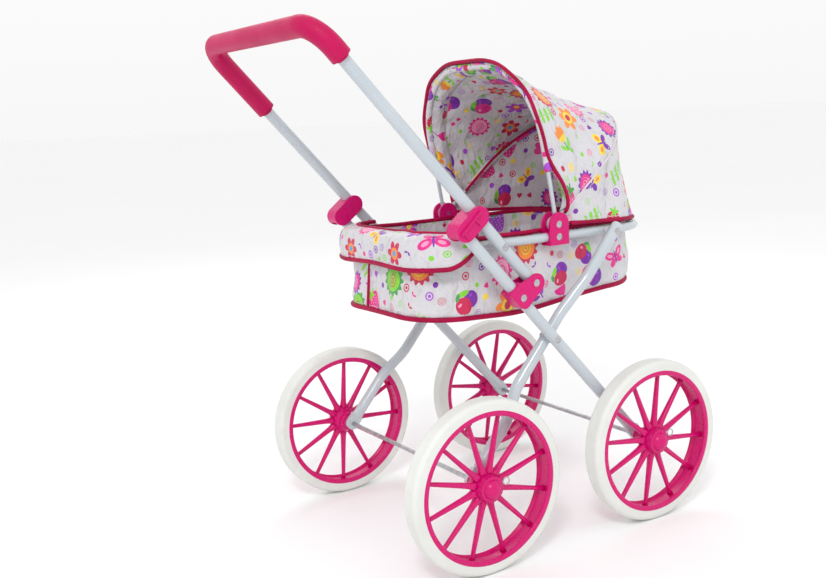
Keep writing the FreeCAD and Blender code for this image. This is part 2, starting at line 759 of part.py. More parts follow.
# ------------------------------------------------------------------ basket
def make_rail():
    """Closed rail loop that carries the basket, with the handle arms' pivot holes."""
    height = size("rail_height")
    side = size("rail_side")
    foot = size("rail_foot_x")
    head = size("rail_head_x")
    middle = (foot + head) / 2
    halves = []
    for end in (head, foot):
        route = [(middle, -side, 0), (end, -side, 0), (end, side, 0), (middle, side, 0)]
        halves.append(swept_rod(filleted_path(route, size("rail_corner")), size("rail_radius")))
    rail = halves[0].fuse(halves[1]).removeSplitter()
    rail.translate(side_point(0, 0, height))
    bore = size("rivet_radius") + size("pivot_clearance")
    drill_start = Vector(RAIL_PIVOT.x, -2 * side, RAIL_PIVOT.z)
    drill_rod = Part.makeCylinder(bore, 4 * side, drill_start, Vector(0, 1, 0))
    feature_from(rail.cut(drill_rod), "basket_rail")


def basket_outline(level, inset):
    """Plan outline of the basket at its floor or its rim, moved in by inset."""
    foot = size("basket_%s_foot_x" % level) + inset
    head = size("basket_%s_head_x" % level) - inset
    side = size("basket_%s_side" % level) - inset
    return rounded_rectangle(foot, head, side, size("basket_%s_corner" % level))


def make_basket():
    """Open basket: a lofted shell that widens towards its floor."""
    body = new_body("basket_fabric")
    depth = size("basket_rim") - size("basket_floor")
    lofts = [
        ("PartDesign::AdditiveLoft", 0.0, 0.0, depth),
        ("PartDesign::SubtractiveLoft", size("basket_wall"), size("basket_base"), depth + OVERSHOOT),
    ]
    for kind, inset, low, high in lofts:
        floor = new_sketch(body, "XY_Plane", basket_outline("floor", inset), low)
        rim = new_sketch(body, "XY_Plane", basket_outline("rim", inset), high)
        loft = body.newObject(kind, body.Name + "_loft")
        loft.Profile = floor
        loft.Sections = [rim]
        loft.Ruled = True
    body.Placement = Placement(side_point(0, 0, size("basket_floor")), Rotation())


def make_board():
    """Stiff board that lies on the basket's floor."""
    body = new_body("base_board")
    outline = rounded_rectangle(size("board_foot_x"), size("board_head_x"),
                                size("board_side"), size("board_corner"))
    pad(body, new_sketch(body, "XY_Plane", outline), "Sizes.board_depth")
    height = size("basket_floor") + size("basket_base") + size("board_lift")
    body.Placement = Placement(side_point(0, 0, height), Rotation())


def horseshoe(x_end, x_low, half_width, corner, band):
    """U-shaped outline open towards +X with a band of constant width."""
    outer = [(x_end, -half_width, 0), (x_low, -half_width, 0),
             (x_low, half_width, 0), (x_end, half_width, 0)]
    low = x_low + band
    width = half_width - band
    inner = [(x_end, width, 0), (low, width, 0), (low, -width, 0), (x_end, -width, 0)]
    pieces = filleted_path(outer, corner)
    pieces.append(Part.LineSegment(Vector(x_end, half_width, 0), Vector(x_end, width, 0)))
    pieces += filleted_path(inner, corner - band)
    pieces.append(Part.LineSegment(Vector(x_end, -width, 0), Vector(x_end, -half_width, 0)))
    return pieces


def make_apron():
    """Foot cover: a skirt around the foot of the rail with a lip over the basket's rim."""
    body = new_body("foot_apron")
    side = size("apron_side")
    foot = size("rail_foot_x") - (side - size("rail_side"))
    end = size("apron_end_x")
    corner = size("rail_corner") + side - size("rail_side")
    skirt = new_sketch(body, "XY_Plane", horseshoe(end, foot, side, corner, size("apron_wall")))
    pad(body, skirt, "Sizes.apron_top - Sizes.apron_hem")
    lip = new_sketch(body, "XY_Plane", horseshoe(end, foot, side, corner, size("apron_lip")),
                     size("apron_top") - size("apron_hem"))
    pad(body, lip, "Sizes.apron_wall")
    body.Placement = Placement(side_point(0, 0, size("apron_hem")), Rotation())


def make_hood_bracket(name, sign):
    """Saddle on the rail: a block around the rail and two round-topped cheeks."""
    body = new_body("hood_bracket_" + name)
    outer = size("saddle_outer")
    inner = size("saddle_inner")
    rise = size("hood_pivot_height") - size("rail_height")
    half = size("saddle_half_width")
    low = -size("saddle_drop")
    outline = [
        Part.LineSegment(Vector(-half, low, 0), Vector(half, low, 0)),
        Part.LineSegment(Vector(half, low, 0), Vector(half, rise, 0)),
        arc_through((half, rise, 0), (0, rise + half, 0), (-half, rise, 0)),
        Part.LineSegment(Vector(-half, rise, 0), Vector(-half, low, 0)),
    ]
    block = new_sketch(body, "XZ_Plane", outline)
    pad(body, block, "Sizes.saddle_outer - Sizes.saddle_inner", symmetric=True)
    middle = (outer + inner) / 2
    slot_low = size("saddle_slot_inner") - middle
    slot_high = size("saddle_slot_outer") - middle
    ends = sorted((sign * slot_low, sign * slot_high))
    slot_floor = size("saddle_slot_low")
    slot_top = rise + 2 * half
    slot = polygon([(ends[0], slot_floor), (ends[1], slot_floor),
                    (ends[1], slot_top), (ends[0], slot_top)])
    pocket(body, new_sketch(body, "YZ_Plane", slot), "Sizes.saddle_outer", symmetric=True)
    rail_side = sign * (size("rail_side") - middle)
    drill_rail = new_sketch(body, "YZ_Plane", circle(rail_side, 0, size("rail_radius")))
    pocket(body, drill_rail, "Sizes.saddle_outer", symmetric=True)
    drill(body, "XZ_Plane", 0, rise, "rivet_radius")
    centre = side_point(size("hood_pivot_x"), sign * middle, size("rail_height"))
    body.Placement = Placement(centre, Rotation())


def make_hood_rivets():
    signs = SIDES.values()
    outer = size("saddle_outer")
    inner = size("saddle_inner")
    rail_level = side_point(size("hood_pivot_x"), 0, size("rail_height"))
    saddle_heads = []
    for sign in signs:
        whole = rivet(inner, outer, sign, rail_level, False)
        block_half = 4 * size("rivet_head")
        block = Part.makeBox(2 * block_half, 2 * outer, 2 * block_half,
                             Vector(rail_level.x - block_half, -outer, rail_level.z - block_half))
        saddle_heads.append(whole.cut(block))
    group([rivet(inner, outer, sign, HOOD_PIVOT, False) for sign in signs] + saddle_heads, "hood_rivets")


# ------------------------------------------------------------------ hood
def hoop(label, side, reach, corner, angle):
    """Arched rod in a plane through the hood pivot, with an eyelet on each end."""
    start = size("eyelet_radius") - OVERSHOOT
    half = size("eyelet_half_depth")
    route = [(start, -side, 0), (reach, -side, 0), (reach, side, 0), (start, side, 0)]
    rod = swept_rod(filleted_path(route, corner), size("hoop_radius"))
    bore = size("rivet_radius") + size("pivot_clearance")
    hole = Part.makeCylinder(bore, 4 * side, Vector(0, -2 * side, 0), Vector(0, 1, 0))
    for sign in SIDES.values():
        foot = Vector(0, sign * side - half, 0)
        eye = Part.makeCylinder(size("eyelet_radius"), 2 * half, foot, Vector(0, 1, 0))
        rod = rod.fuse(eye)
    arch = feature_from(rod.cut(hole).removeSplitter(), label)
    arch.Placement = turned(HOOD_PIVOT, angle)


def gore_ring(side, reach, corner, angle, start):
    """Closed band outline in one hoop plane, with the cloth's thickness, open at the pivots."""
    cloth = size("hood_cloth")
    outer = filleted_path([(start, -side, 0), (reach, -side, 0),
                           (reach, side, 0), (start, side, 0)], corner)
    side_in = side - cloth
    reach_in = reach - cloth
    inner = filleted_path([(start, side_in, 0), (reach_in, side_in, 0), (reach_in, -side_in, 0),
                           (start, -side_in, 0)], corner - cloth)
    ring = outer + [Part.LineSegment(Vector(start, side, 0), Vector(start, side_in, 0))]
    ring += inner + [Part.LineSegment(Vector(start, -side_in, 0), Vector(start, -side, 0))]
    wire = wire_of(ring)
    wire.Placement = turned(HOOD_PIVOT, angle)
    return wire


def make_gore(label, ring_a, ring_b):
    feature_from(Part.makeLoft([ring_a, ring_b], True, True), label)


def make_hood():
    for label in ("front_hoop", "mid_hoop"):
        hoop(label, *(size(label + part) for part in ("_side", "_reach", "_corner", "_angle")))
    front_side = size("front_hoop_side")
    mid_side = size("mid_hoop_side")
    mid_angle = size("mid_hoop_angle")
    stand_off = size("hoop_radius") + size("hood_cloth") + size("cloth_gap")
    start = size("cover_start")
    mid = (mid_side + stand_off, size("mid_cover_reach"), size("mid_cover_corner"))
    front = (front_side + stand_off, size("front_cover_reach"), size("front_cover_corner"))
    head = (size("head_cover_side"), size("head_cover_reach"), size("head_cover_corner"))
    gap = size("mid_cover_gap")
    make_gore("hood_front_cover",
              gore_ring(*mid, mid_angle + gap, start),
              gore_ring(*front, size("front_cover_angle"), start))
    make_gore("hood_rear_cover",
              gore_ring(*head, size("head_cover_angle"), start),
              gore_ring(*mid, mid_angle - gap, start))


# ------------------------------------------------------------------ assembly
WHEELS = {
    "front_left": ("wheel_base", 1.0, 10.0),
    "front_right": ("wheel_base", -1.0, 22.0),
    "rear_left": (None, 1.0, 4.0),
    "rear_right": (None, -1.0, 15.0),
}


def make_chassis():
    for name, sign in SIDES.items():
        make_front_leg(name, sign)
        make_rear_leg(name, sign)
        make_fold_bracket(name, sign)
        make_clip(name, sign)
    make_handle()
    make_grip()
    make_rivets()
    make_plugs()
    make_axle("front_axle", size("wheel_base"))
    make_axle("rear_axle", 0.0)
    make_bushes("front_bushes", size("wheel_base"))
    make_bushes("rear_bushes", 0.0)


def make_wheels():
    for name, (base, sign, turn) in WHEELS.items():
        frame = wheel_frame(size(base) if base else 0.0, sign, turn)
        make_rim(name, frame)
        make_spokes(name, frame)
        make_tyre(name, frame)
        make_cap(name, frame)
        make_ring_pin(name, frame)


def make_carrycot():
    make_rail()
    make_basket()
    make_board()
    make_apron()
    for name, sign in SIDES.items():
        make_hood_bracket(name, sign)
    make_hood_rivets()
    make_hood()


make_chassis()
make_wheels()
make_carrycot()
DOC.recompute()

for obj in DOC.Objects:
    if "Invalid" in obj.State or "Error" in obj.State:
        raise RuntimeError("%s did not build: %s" % (obj.Label, obj.State))

os.makedirs("parts", exist_ok=True)
whole = FreeCAD.BoundBox()
for item in SUB_PARTS:
    shape = item.Shape
    if shape.isNull() or not shape.isValid() or not shape.Solids:
        raise RuntimeError("bad shape: " + item.Label)
    whole.add(shape.BoundBox)
for item in SUB_PARTS:
    item.Shape.exportStep("parts/%s.step" % item.Label)
    print("%-20s solids %d volume %.1f" % (item.Label, len(item.Shape.Solids), item.Shape.Volume))
print("sub-parts %d, box %s" % (len(SUB_PARTS), whole))
print("fold pivot", FOLD_PIVOT, "cross pivot", CROSS_PIVOT)
print("rail pivot", RAIL_PIVOT, "head pivot", HEAD_PIVOT, "hood pivot", HOOD_PIVOT)
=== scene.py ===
import json
import math

import bpy
from mathutils import Matrix, Vector, noise


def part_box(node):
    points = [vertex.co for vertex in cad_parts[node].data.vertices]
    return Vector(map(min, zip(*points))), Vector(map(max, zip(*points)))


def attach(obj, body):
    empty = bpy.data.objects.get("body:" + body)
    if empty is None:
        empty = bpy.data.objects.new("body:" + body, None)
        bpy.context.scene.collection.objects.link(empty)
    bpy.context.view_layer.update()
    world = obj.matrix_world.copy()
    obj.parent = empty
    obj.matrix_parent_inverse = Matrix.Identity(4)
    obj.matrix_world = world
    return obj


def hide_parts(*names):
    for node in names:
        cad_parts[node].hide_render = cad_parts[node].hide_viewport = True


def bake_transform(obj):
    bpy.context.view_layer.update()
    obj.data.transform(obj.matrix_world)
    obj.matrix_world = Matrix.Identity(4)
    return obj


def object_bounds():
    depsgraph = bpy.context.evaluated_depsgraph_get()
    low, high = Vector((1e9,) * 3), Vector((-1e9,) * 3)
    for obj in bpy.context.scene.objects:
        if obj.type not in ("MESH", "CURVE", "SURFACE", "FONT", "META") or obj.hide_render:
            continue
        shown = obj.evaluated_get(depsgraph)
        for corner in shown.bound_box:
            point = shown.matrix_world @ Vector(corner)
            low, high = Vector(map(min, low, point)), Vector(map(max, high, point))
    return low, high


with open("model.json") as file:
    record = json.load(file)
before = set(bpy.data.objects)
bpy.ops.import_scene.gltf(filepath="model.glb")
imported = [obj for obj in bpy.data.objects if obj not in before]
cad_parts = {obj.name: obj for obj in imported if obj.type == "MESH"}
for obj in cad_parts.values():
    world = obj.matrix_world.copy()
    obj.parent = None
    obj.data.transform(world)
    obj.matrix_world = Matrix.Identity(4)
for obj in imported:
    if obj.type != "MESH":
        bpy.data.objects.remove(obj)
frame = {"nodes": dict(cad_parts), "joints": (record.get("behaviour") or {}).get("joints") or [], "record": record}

cad_low, cad_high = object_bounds()

# ------------------------------------------------------------------ places from the frame
JOINTS = {joint["name"]: joint for joint in frame["joints"]}
HOOD = Vector(JOINTS["hood_fold"]["pos_m"])
RAIL_LOW, RAIL_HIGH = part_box("basket_rail")
RAIL_RADIUS = (RAIL_HIGH.z - RAIL_LOW.z) / 2
RAIL_Z = (RAIL_HIGH.z + RAIL_LOW.z) / 2
RAIL_SIDE = RAIL_HIGH.y - RAIL_RADIUS
RAIL_FOOT = RAIL_LOW.x + RAIL_RADIUS
RAIL_CORNER = 0.050
BASKET_LOW, BASKET_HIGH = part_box("basket_fabric")
APRON_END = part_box("foot_apron")[1].x


# ------------------------------------------------------------------ shader graph helpers
class Graph:
    """A material's node graph, built from plain calls. A value is a socket or a number."""

    def __init__(self, name):
        self.material = bpy.data.materials.new(name)
        self.material.use_nodes = True
        self.tree = self.material.node_tree
        self.shader = self.tree.nodes["Principled BSDF"]

    def new(self, kind, **settings):
        node = self.tree.nodes.new(kind)
        for key, value in settings.items():
            setattr(node, key, value)
        return node

    def put(self, socket, value):
        if isinstance(value, bpy.types.NodeSocket):
            self.tree.links.new(value, socket)
        else:
            socket.default_value = value

    def math(self, operation, a, b=None, c=None, clamp=False):
        node = self.new("ShaderNodeMath", operation=operation, use_clamp=clamp)
        for socket, value in zip(node.inputs, (a, b, c)):
            if value is not None:
                self.put(socket, value)
        return node.outputs[0]

    def add(self, a, b):
        return self.math("ADD", a, b)

    def sub(self, a, b):
        return self.math("SUBTRACT", a, b)

    def mul(self, a, b):
        return self.math("MULTIPLY", a, b)

    def below(self, a, b):
        return self.math("LESS_THAN", a, b)

    def above(self, a, b):
        return self.math("GREATER_THAN", a, b)

    def both(self, *masks):
        result = masks[0]
        for mask in masks[1:]:
            result = self.mul(result, mask)
        return result

    def either(self, *masks):
        result = masks[0]
        for mask in masks[1:]:
            result = self.math("MAXIMUM", result, mask)
        return result

    def between(self, value, low, high):
        return self.both(self.above(value, low), self.below(value, high))

    def length(self, x, y):
        return self.math("SQRT", self.add(self.mul(x, x), self.mul(y, y)))

    def ellipse(self, x, y, half_x, half_y):
        return self.below(self.length(self.math("DIVIDE", x, half_x), self.math("DIVIDE", y, half_y)), 1.0)

    def turn(self, x, y, angle):
        """x and y turned by an angle that is a number."""
        c, s = math.cos(angle), math.sin(angle)
        return (self.add(self.mul(x, c), self.mul(y, s)), self.sub(self.mul(y, c), self.mul(x, s)))

    def mix(self, factor, a, b):
        node = self.new("ShaderNodeMix", data_type="RGBA")
        for socket, value in zip((node.inputs[0], node.inputs[6], node.inputs[7]), (factor, a, b)):
            self.put(socket, value if isinstance(value, (bpy.types.NodeSocket, float)) else (*value[:3], 1.0))
        return node.outputs[2]

    def ramp(self, factor, stops, step=False):
        node = self.new("ShaderNodeValToRGB")
        ramp = node.color_ramp
        ramp.interpolation = "CONSTANT" if step else "LINEAR"
        while len(ramp.elements) < len(stops):
            ramp.elements.new(0.5)
        for element, (place, colour) in zip(ramp.elements, stops):
            element.position = place
            element.color = (*colour, 1.0)
        self.put(node.inputs[0], factor)
        return node.outputs[0]

    def spread(self, value, low, high, to_low, to_high):
        node = self.new("ShaderNodeMapRange")
        for socket, item in zip(node.inputs, (value, low, high, to_low, to_high)):
            self.put(socket, item)
        return node.outputs[0]

    def noise(self, vector, scale, detail=3.0, rough=0.5):
        node = self.new("ShaderNodeTexNoise")
        self.put(node.inputs["Vector"], vector)
        node.inputs["Scale"].default_value = scale
        node.inputs["Detail"].default_value = detail
        node.inputs["Roughness"].default_value = rough
        return node.outputs["Fac"]

    def place(self):
        """Object coordinates in metres."""
        return self.new("ShaderNodeTexCoord").outputs["Object"]

    def uv(self, name):
        return self.new("ShaderNodeUVMap", uv_map=name).outputs["UV"]

    def split(self, vector):
        node = self.new("ShaderNodeSeparateXYZ")
        self.put(node.inputs[0], vector)
        return node.outputs[0], node.outputs[1]

    def scaled(self, vector, factor, turned=0.0, shift=(0.0, 0.0, 0.0)):
        node = self.new("ShaderNodeMapping")
        self.put(node.inputs["Vector"], vector)
        node.inputs["Scale"].default_value = (factor, factor, factor)
        node.inputs["Rotation"].default_value = (0.0, 0.0, turned)
        node.inputs["Location"].default_value = shift
        return node.outputs[0]

    def bump(self, height, distance, strength=1.0, below=None):
        node = self.new("ShaderNodeBump")
        self.put(node.inputs["Height"], height)
        node.inputs["Distance"].default_value = distance
        node.inputs["Strength"].default_value = strength
        if below is not None:
            self.put(node.inputs["Normal"], below)
        return node.outputs[0]

    def finish(self, colour, roughness, normal=None, **fixed):
        self.put(self.shader.inputs["Base Color"], colour)
        self.put(self.shader.inputs["Roughness"], roughness)
        if normal is not None:
            self.put(self.shader.inputs["Normal"], normal)
        for key, value in fixed.items():
            self.shader.inputs[key.replace("_", " ")].default_value = value
        return self.material


# ------------------------------------------------------------------ print colours
WHITE = (0.615, 0.605, 0.632)
MAGENTA = (0.76, 0.015, 0.26)
CRIMSON = (0.56, 0.010, 0.075)
PURPLE = (0.19, 0.020, 0.38)
VIOLET = (0.38, 0.06, 0.62)
GREEN = (0.21, 0.62, 0.030)
DEEP_GREEN = (0.06, 0.32, 0.07)
YELLOW = (0.88, 0.64, 0.030)
ORANGE = (0.86, 0.25, 0.03)
PINK = (0.90, 0.32, 0.50)
SKY = (0.10, 0.34, 0.62)
SEED = (0.92, 0.62, 0.55)
STITCH = (0.62, 0.60, 0.64)


def cell_layer(g, uv, cell, radius, jitter, turned, shift):
    """Jittered cells: local x and y in motif radii, three random numbers, and the cell's centre."""
    grid = g.scaled(uv, 1.0 / cell, turned, shift)
    cells = g.new("ShaderNodeTexVoronoi", voronoi_dimensions="2D", feature="F1")
    g.put(cells.inputs["Vector"], grid)
    cells.inputs["Scale"].default_value = 1.0
    cells.inputs["Randomness"].default_value = jitter
    centre = cells.outputs["Position"]
    local = g.new("ShaderNodeVectorMath", operation="SUBTRACT")
    g.put(local.inputs[0], grid)
    g.put(local.inputs[1], centre)
    channels = g.new("ShaderNodeSeparateColor")
    g.put(channels.inputs[0], cells.outputs["Color"])
    pick, shade, spin = channels.outputs
    angle = g.mul(g.sub(spin, 0.5), 2.4)
    x, y = g.split(local.outputs[0])
    size = g.spread(shade, 0.0, 1.0, cell / radius * 1.22, cell / radius * 0.88)
    c, s = g.math("COSINE", angle), g.math("SINE", angle)
    turned_x = g.mul(g.add(g.mul(x, c), g.mul(y, s)), size)
    turned_y = g.mul(g.sub(g.mul(y, c), g.mul(x, s)), size)
    return turned_x, turned_y, pick, shade, centre


def stepped(g, shade, *stops):
    """One of several flat colours, picked by a random number; each stop is where its colour starts."""
    return g.ramp(shade, stops, True)


def large_motifs(g, x, y, pick, shade, colour):
    """Flowers, berries, round fruits, hearts, butterflies, tulips and sprigs."""
    r = g.length(x, y)
    theta = g.math("ARCTAN2", y, x)
    side_x = g.math("ABSOLUTE", x)

    def lay(mask, *paint):
        """Paint over the mask where this motif's cell is, in one colour or one of several."""
        nonlocal colour
        tint = stepped(g, shade, *paint) if len(paint) > 1 else paint[0]
        colour = g.mix(g.mul(here, mask), colour, tint)

    def leaf(across, along, angle, half_x, half_y, *paint):
        turned_x, turned_y = g.turn(across, along, angle)
        lay(g.ellipse(turned_x, turned_y, half_x, half_y), *paint)

    def stem(line, half_width, low, high, paint):
        lay(g.both(g.below(g.math("ABSOLUTE", line), half_width), g.between(y, low, high)), paint)

    # scalloped flower with a spiral heart
    here = g.below(pick, 0.26)
    edge = g.add(g.mul(g.math("COSINE", g.mul(theta, 13.0)), 0.10), 0.86)
    coil = g.below(g.math("FRACT", g.sub(g.mul(r, 5.0), g.math("DIVIDE", theta, 2 * math.pi))), 0.30)
    lay(g.below(r, edge), (0, PURPLE), (0.35, MAGENTA), (0.62, CRIMSON), (0.85, DEEP_GREEN))
    lay(g.below(r, 0.66), (0, MAGENTA), (0.35, PINK), (0.62, ORANGE), (0.85, GREEN))
    lay(g.both(coil, g.below(r, 0.44)), (0, PINK), (0.35, MAGENTA), (0.62, YELLOW), (0.85, CRIMSON))
    # petal flower with a dot
    here = g.between(pick, 0.26, 0.38)
    petals = g.add(g.mul(g.math("ABSOLUTE", g.math("COSINE", g.mul(theta, 3.0))), 0.42), 0.46)
    lay(g.below(r, petals), (0, CRIMSON), (0.4, VIOLET), (0.75, ORANGE))
    lay(g.below(r, 0.42), (0, ORANGE), (0.4, MAGENTA), (0.75, YELLOW))
    lay(g.below(r, 0.22), (0, SKY), (0.4, YELLOW), (0.75, CRIMSON))
    # berry with seeds and leaves
    here = g.between(pick, 0.38, 0.47)
    taper = g.add(g.mul(y, 0.30), 0.74)
    body = g.ellipse(g.math("DIVIDE", x, taper), g.add(y, 0.12), 0.92, 0.80)
    seeds = g.mul(g.math("SINE", g.mul(g.add(x, y), 13.0)), g.math("SINE", g.mul(g.sub(x, y), 13.0)))
    crown_y = g.sub(y, 0.66)
    crown_angle = g.math("ARCTAN2", x, crown_y)
    crown_edge = g.add(g.mul(g.math("COSINE", g.mul(crown_angle, 5.0)), 0.16), 0.36)
    lay(body, (0, CRIMSON), (0.45, MAGENTA), (0.8, VIOLET))
    lay(g.both(body, g.above(seeds, 0.80), g.below(y, 0.35)), SEED)
    lay(g.below(g.length(x, g.mul(crown_y, 1.3)), crown_edge), (0, GREEN), (0.6, DEEP_GREEN))
    # two round fruits under a leaf
    here = g.between(pick, 0.47, 0.58)
    lay(g.ellipse(g.add(x, 0.34), g.add(y, 0.20), 0.56, 0.62), PURPLE)
    lay(g.ellipse(g.sub(x, 0.34), g.add(y, 0.12), 0.58, 0.66), (0, CRIMSON), (0.5, MAGENTA))
    lay(g.ellipse(g.sub(x, 0.50), g.sub(y, 0.16), 0.16, 0.10), PINK)
    lay(g.ellipse(g.add(x, 0.48), g.sub(y, 0.04), 0.13, 0.09), VIOLET)
    leaf(g.add(x, 0.18), g.sub(y, 0.58), 0.5, 0.46, 0.20, GREEN)
    leaf(g.sub(x, 0.26), g.sub(y, 0.66), -0.6, 0.30, 0.14, DEEP_GREEN)
    # heart on a stem with leaves
    here = g.between(pick, 0.58, 0.66)
    stem(g.sub(x, g.mul(g.math("SINE", g.mul(y, 4.0)), 0.10)), 0.045, -0.95, 0.3, PURPLE)
    leaf(g.sub(x, 0.30), g.add(y, 0.45), 0.7, 0.30, 0.13, PURPLE)
    leaf(g.add(x, 0.28), g.add(y, 0.55), -0.7, 0.28, 0.13, VIOLET)
    heart_x = g.mul(side_x, 1.9)
    lobe = g.sub(g.mul(g.sub(y, 0.42), 1.9), g.mul(g.math("SQRT", heart_x), 0.75))
    lay(g.below(g.length(heart_x, lobe), 0.82), (0, CRIMSON), (0.5, MAGENTA))
    # butterfly
    here = g.between(pick, 0.66, 0.77)
    leaf(g.sub(side_x, 0.44), g.sub(y, 0.26), 0.6, 0.46, 0.30, (0, YELLOW), (0.4, MAGENTA), (0.75, VIOLET))
    leaf(g.sub(side_x, 0.44), g.sub(y, 0.26), 0.6, 0.24, 0.13, (0, ORANGE), (0.4, PINK), (0.75, YELLOW))
    leaf(g.sub(side_x, 0.34), g.add(y, 0.34), -0.6, 0.34, 0.22, (0, PURPLE), (0.4, MAGENTA), (0.75, CRIMSON))
    lay(g.ellipse(x, y, 0.07, 0.52), PURPLE)
    # tulip
    here = g.between(pick, 0.77, 0.86)
    points = g.mul(g.math("ABSOLUTE", g.math("COSINE", g.mul(x, 7.0))), 0.24)
    cup = g.both(g.below(g.length(g.mul(x, 1.5), g.sub(y, 0.25)), 0.62), g.below(y, g.add(points, 0.42)))
    stem(x, 0.05, -0.95, -0.1, DEEP_GREEN)
    leaf(g.sub(side_x, 0.26), g.add(y, 0.62), 0.9, 0.34, 0.12, GREEN)
    lay(cup, (0, YELLOW), (0.55, ORANGE))
    lay(g.both(cup, g.below(y, 0.02)), (0, GREEN), (0.55, YELLOW))
    # sprig with round leaves
    here = g.above(pick, 0.86)
    step = g.sub(g.math("FRACT", g.mul(g.add(y, 1.0), 1.9)), 0.5)
    leaves = g.ellipse(g.sub(side_x, 0.27), g.mul(step, 0.53), 0.25, 0.15)
    stem(x, 0.04, -0.95, 0.75, GREEN)
    lay(g.both(leaves, g.between(y, -0.80, 0.78)), GREEN)
    return colour


def small_motifs(g, x, y, pick, shade, clear, colour):
    """Dots, rings, spirals, hearts and leaf pairs between the large motifs."""
    r = g.length(x, y)
    turns = g.math("DIVIDE", g.math("ARCTAN2", y, x), 2 * math.pi)
    paint = stepped(g, shade, (0, GREEN), (0.24, MAGENTA), (0.48, PURPLE), (0.62, CRIMSON), (0.78, YELLOW),
                    (0.88, VIOLET))
    coil = g.below(g.math("FRACT", g.sub(g.mul(r, 2.6), turns)), 0.34)
    side_x = g.math("ABSOLUTE", x)
    heart_y = g.sub(g.mul(y, 1.2), g.mul(g.math("SQRT", side_x), 0.7))
    leaf_x, leaf_y = g.turn(g.sub(side_x, 0.42), y, 0.6)
    motifs = (
        (0.0, 0.24, g.below(r, 0.66)),
        (0.24, 0.46, g.either(g.below(r, 0.36), g.between(r, 0.64, 0.92))),
        (0.46, 0.62, g.both(coil, g.below(r, 1.04))),
        (0.62, 0.72, g.below(g.length(g.mul(x, 1.15), heart_y), 0.80)),
        (0.72, 0.86, g.ellipse(leaf_x, leaf_y, 0.48, 0.22)),
    )
    for low, high, mask in motifs:
        colour = g.mix(g.both(g.between(pick, low, high), mask, clear), colour, paint)
    return colour


LARGE_CELL = 0.0435
LARGE_RADIUS = 0.0175
LARGE_JITTER = 0.46
LARGE_TURN = 0.42
LARGE_SHIFT = (11.3, 5.2, 0.0)
SMALL_CELL = 0.0155
SMALL_RADIUS = 0.0047
SMALL_JITTER = 0.50
SMALL_TURN = -0.3
SMALL_SHIFT = (1.7, 4.9, 0.0)


def printed_cloth(name):
    """Shiny printed nylon: a plain weave, creases, the print, and stitching beside the bound edges."""
    g = Graph(name)
    uv = g.uv("cloth")
    x, y, pick, shade, _ = cell_layer(g, uv, LARGE_CELL, LARGE_RADIUS, LARGE_JITTER, LARGE_TURN, LARGE_SHIFT)
    small_x, small_y, small_pick, small_shade, centre = cell_layer(
        g, uv, SMALL_CELL, SMALL_RADIUS, SMALL_JITTER, SMALL_TURN, SMALL_SHIFT)
    # A small motif shows only where the nearest large one is far enough from its middle.
    back = g.new("ShaderNodeVectorRotate", rotation_type="Z_AXIS")
    offset = g.new("ShaderNodeVectorMath", operation="SUBTRACT")
    g.put(offset.inputs[0], centre)
    offset.inputs[1].default_value = SMALL_SHIFT
    g.put(back.inputs["Vector"], offset.outputs[0])
    back.inputs["Angle"].default_value = -SMALL_TURN
    middle = g.scaled(back.outputs[0], SMALL_CELL)
    near = g.new("ShaderNodeTexVoronoi", voronoi_dimensions="2D", feature="F1")
    g.put(near.inputs["Vector"], g.scaled(middle, 1.0 / LARGE_CELL, LARGE_TURN, LARGE_SHIFT))
    near.inputs["Scale"].default_value = 1.0
    near.inputs["Randomness"].default_value = LARGE_JITTER
    clear = g.above(near.outputs["Distance"], (LARGE_RADIUS * 0.80 + SMALL_RADIUS) / LARGE_CELL)

    tint = g.noise(g.place(), 9.0, 2.0)
    ground = g.mix(g.spread(tint, 0.3, 0.7, 0.0, 1.0), WHITE, tuple(c * 0.955 for c in WHITE))
    colour = large_motifs(g, x, y, pick, shade, ground)
    colour = small_motifs(g, small_x, small_y, small_pick, small_shade, clear, colour)

    u, v = g.split(uv)
    thread = 2 * math.pi / 0.00055
    weave = g.mul(g.math("SINE", g.mul(u, thread)), g.math("SINE", g.mul(v, thread)))
    swell = g.noise(g.place(), 20.0, 4.0, 0.55)
    stretched = g.new("ShaderNodeMapping")
    g.put(stretched.inputs["Vector"], g.place())
    stretched.inputs["Scale"].default_value = (1.0, 1.0, 0.42)
    stretched.inputs["Rotation"].default_value = (0.35, 0.5, 0.0)
    fold = g.math("ABSOLUTE", g.sub(g.noise(stretched.outputs[0], 30.0, 3.0, 0.5), 0.5))
    fold = g.math("POWER", g.mul(fold, 3.2), 1.15, clamp=True)
    fine = g.noise(g.place(), 95.0, 3.0, 0.6)
    normal = g.bump(swell, 0.0130, 0.95)
    normal = g.bump(fold, 0.0046, 0.90, normal)
    normal = g.bump(fine, 0.0010, 0.6, normal)
    normal = g.bump(weave, 0.00004, 0.5, normal)
    along, edge = g.split(g.uv("seam"))
    row = g.between(edge, 0.0036, 0.0046)
    dash = g.below(g.math("FRACT", g.math("DIVIDE", along, 0.0034)), 0.68)
    stitch = g.both(row, dash)
    colour = g.mix(stitch, colour, STITCH)
    hem = g.below(edge, 0.0052)
    normal = g.bump(g.add(g.mul(stitch, 0.6), hem), 0.00022, 0.8, normal)
    rough = g.add(g.spread(fine, 0.3, 0.7, 0.33, 0.47), g.mul(weave, 0.03))
    return g.finish(colour, rough, normal, Sheen_Weight=0.10, Sheen_Roughness=0.4, Coat_Weight=0.08,
                    Coat_Roughness=0.32, Specular_IOR_Level=0.45)


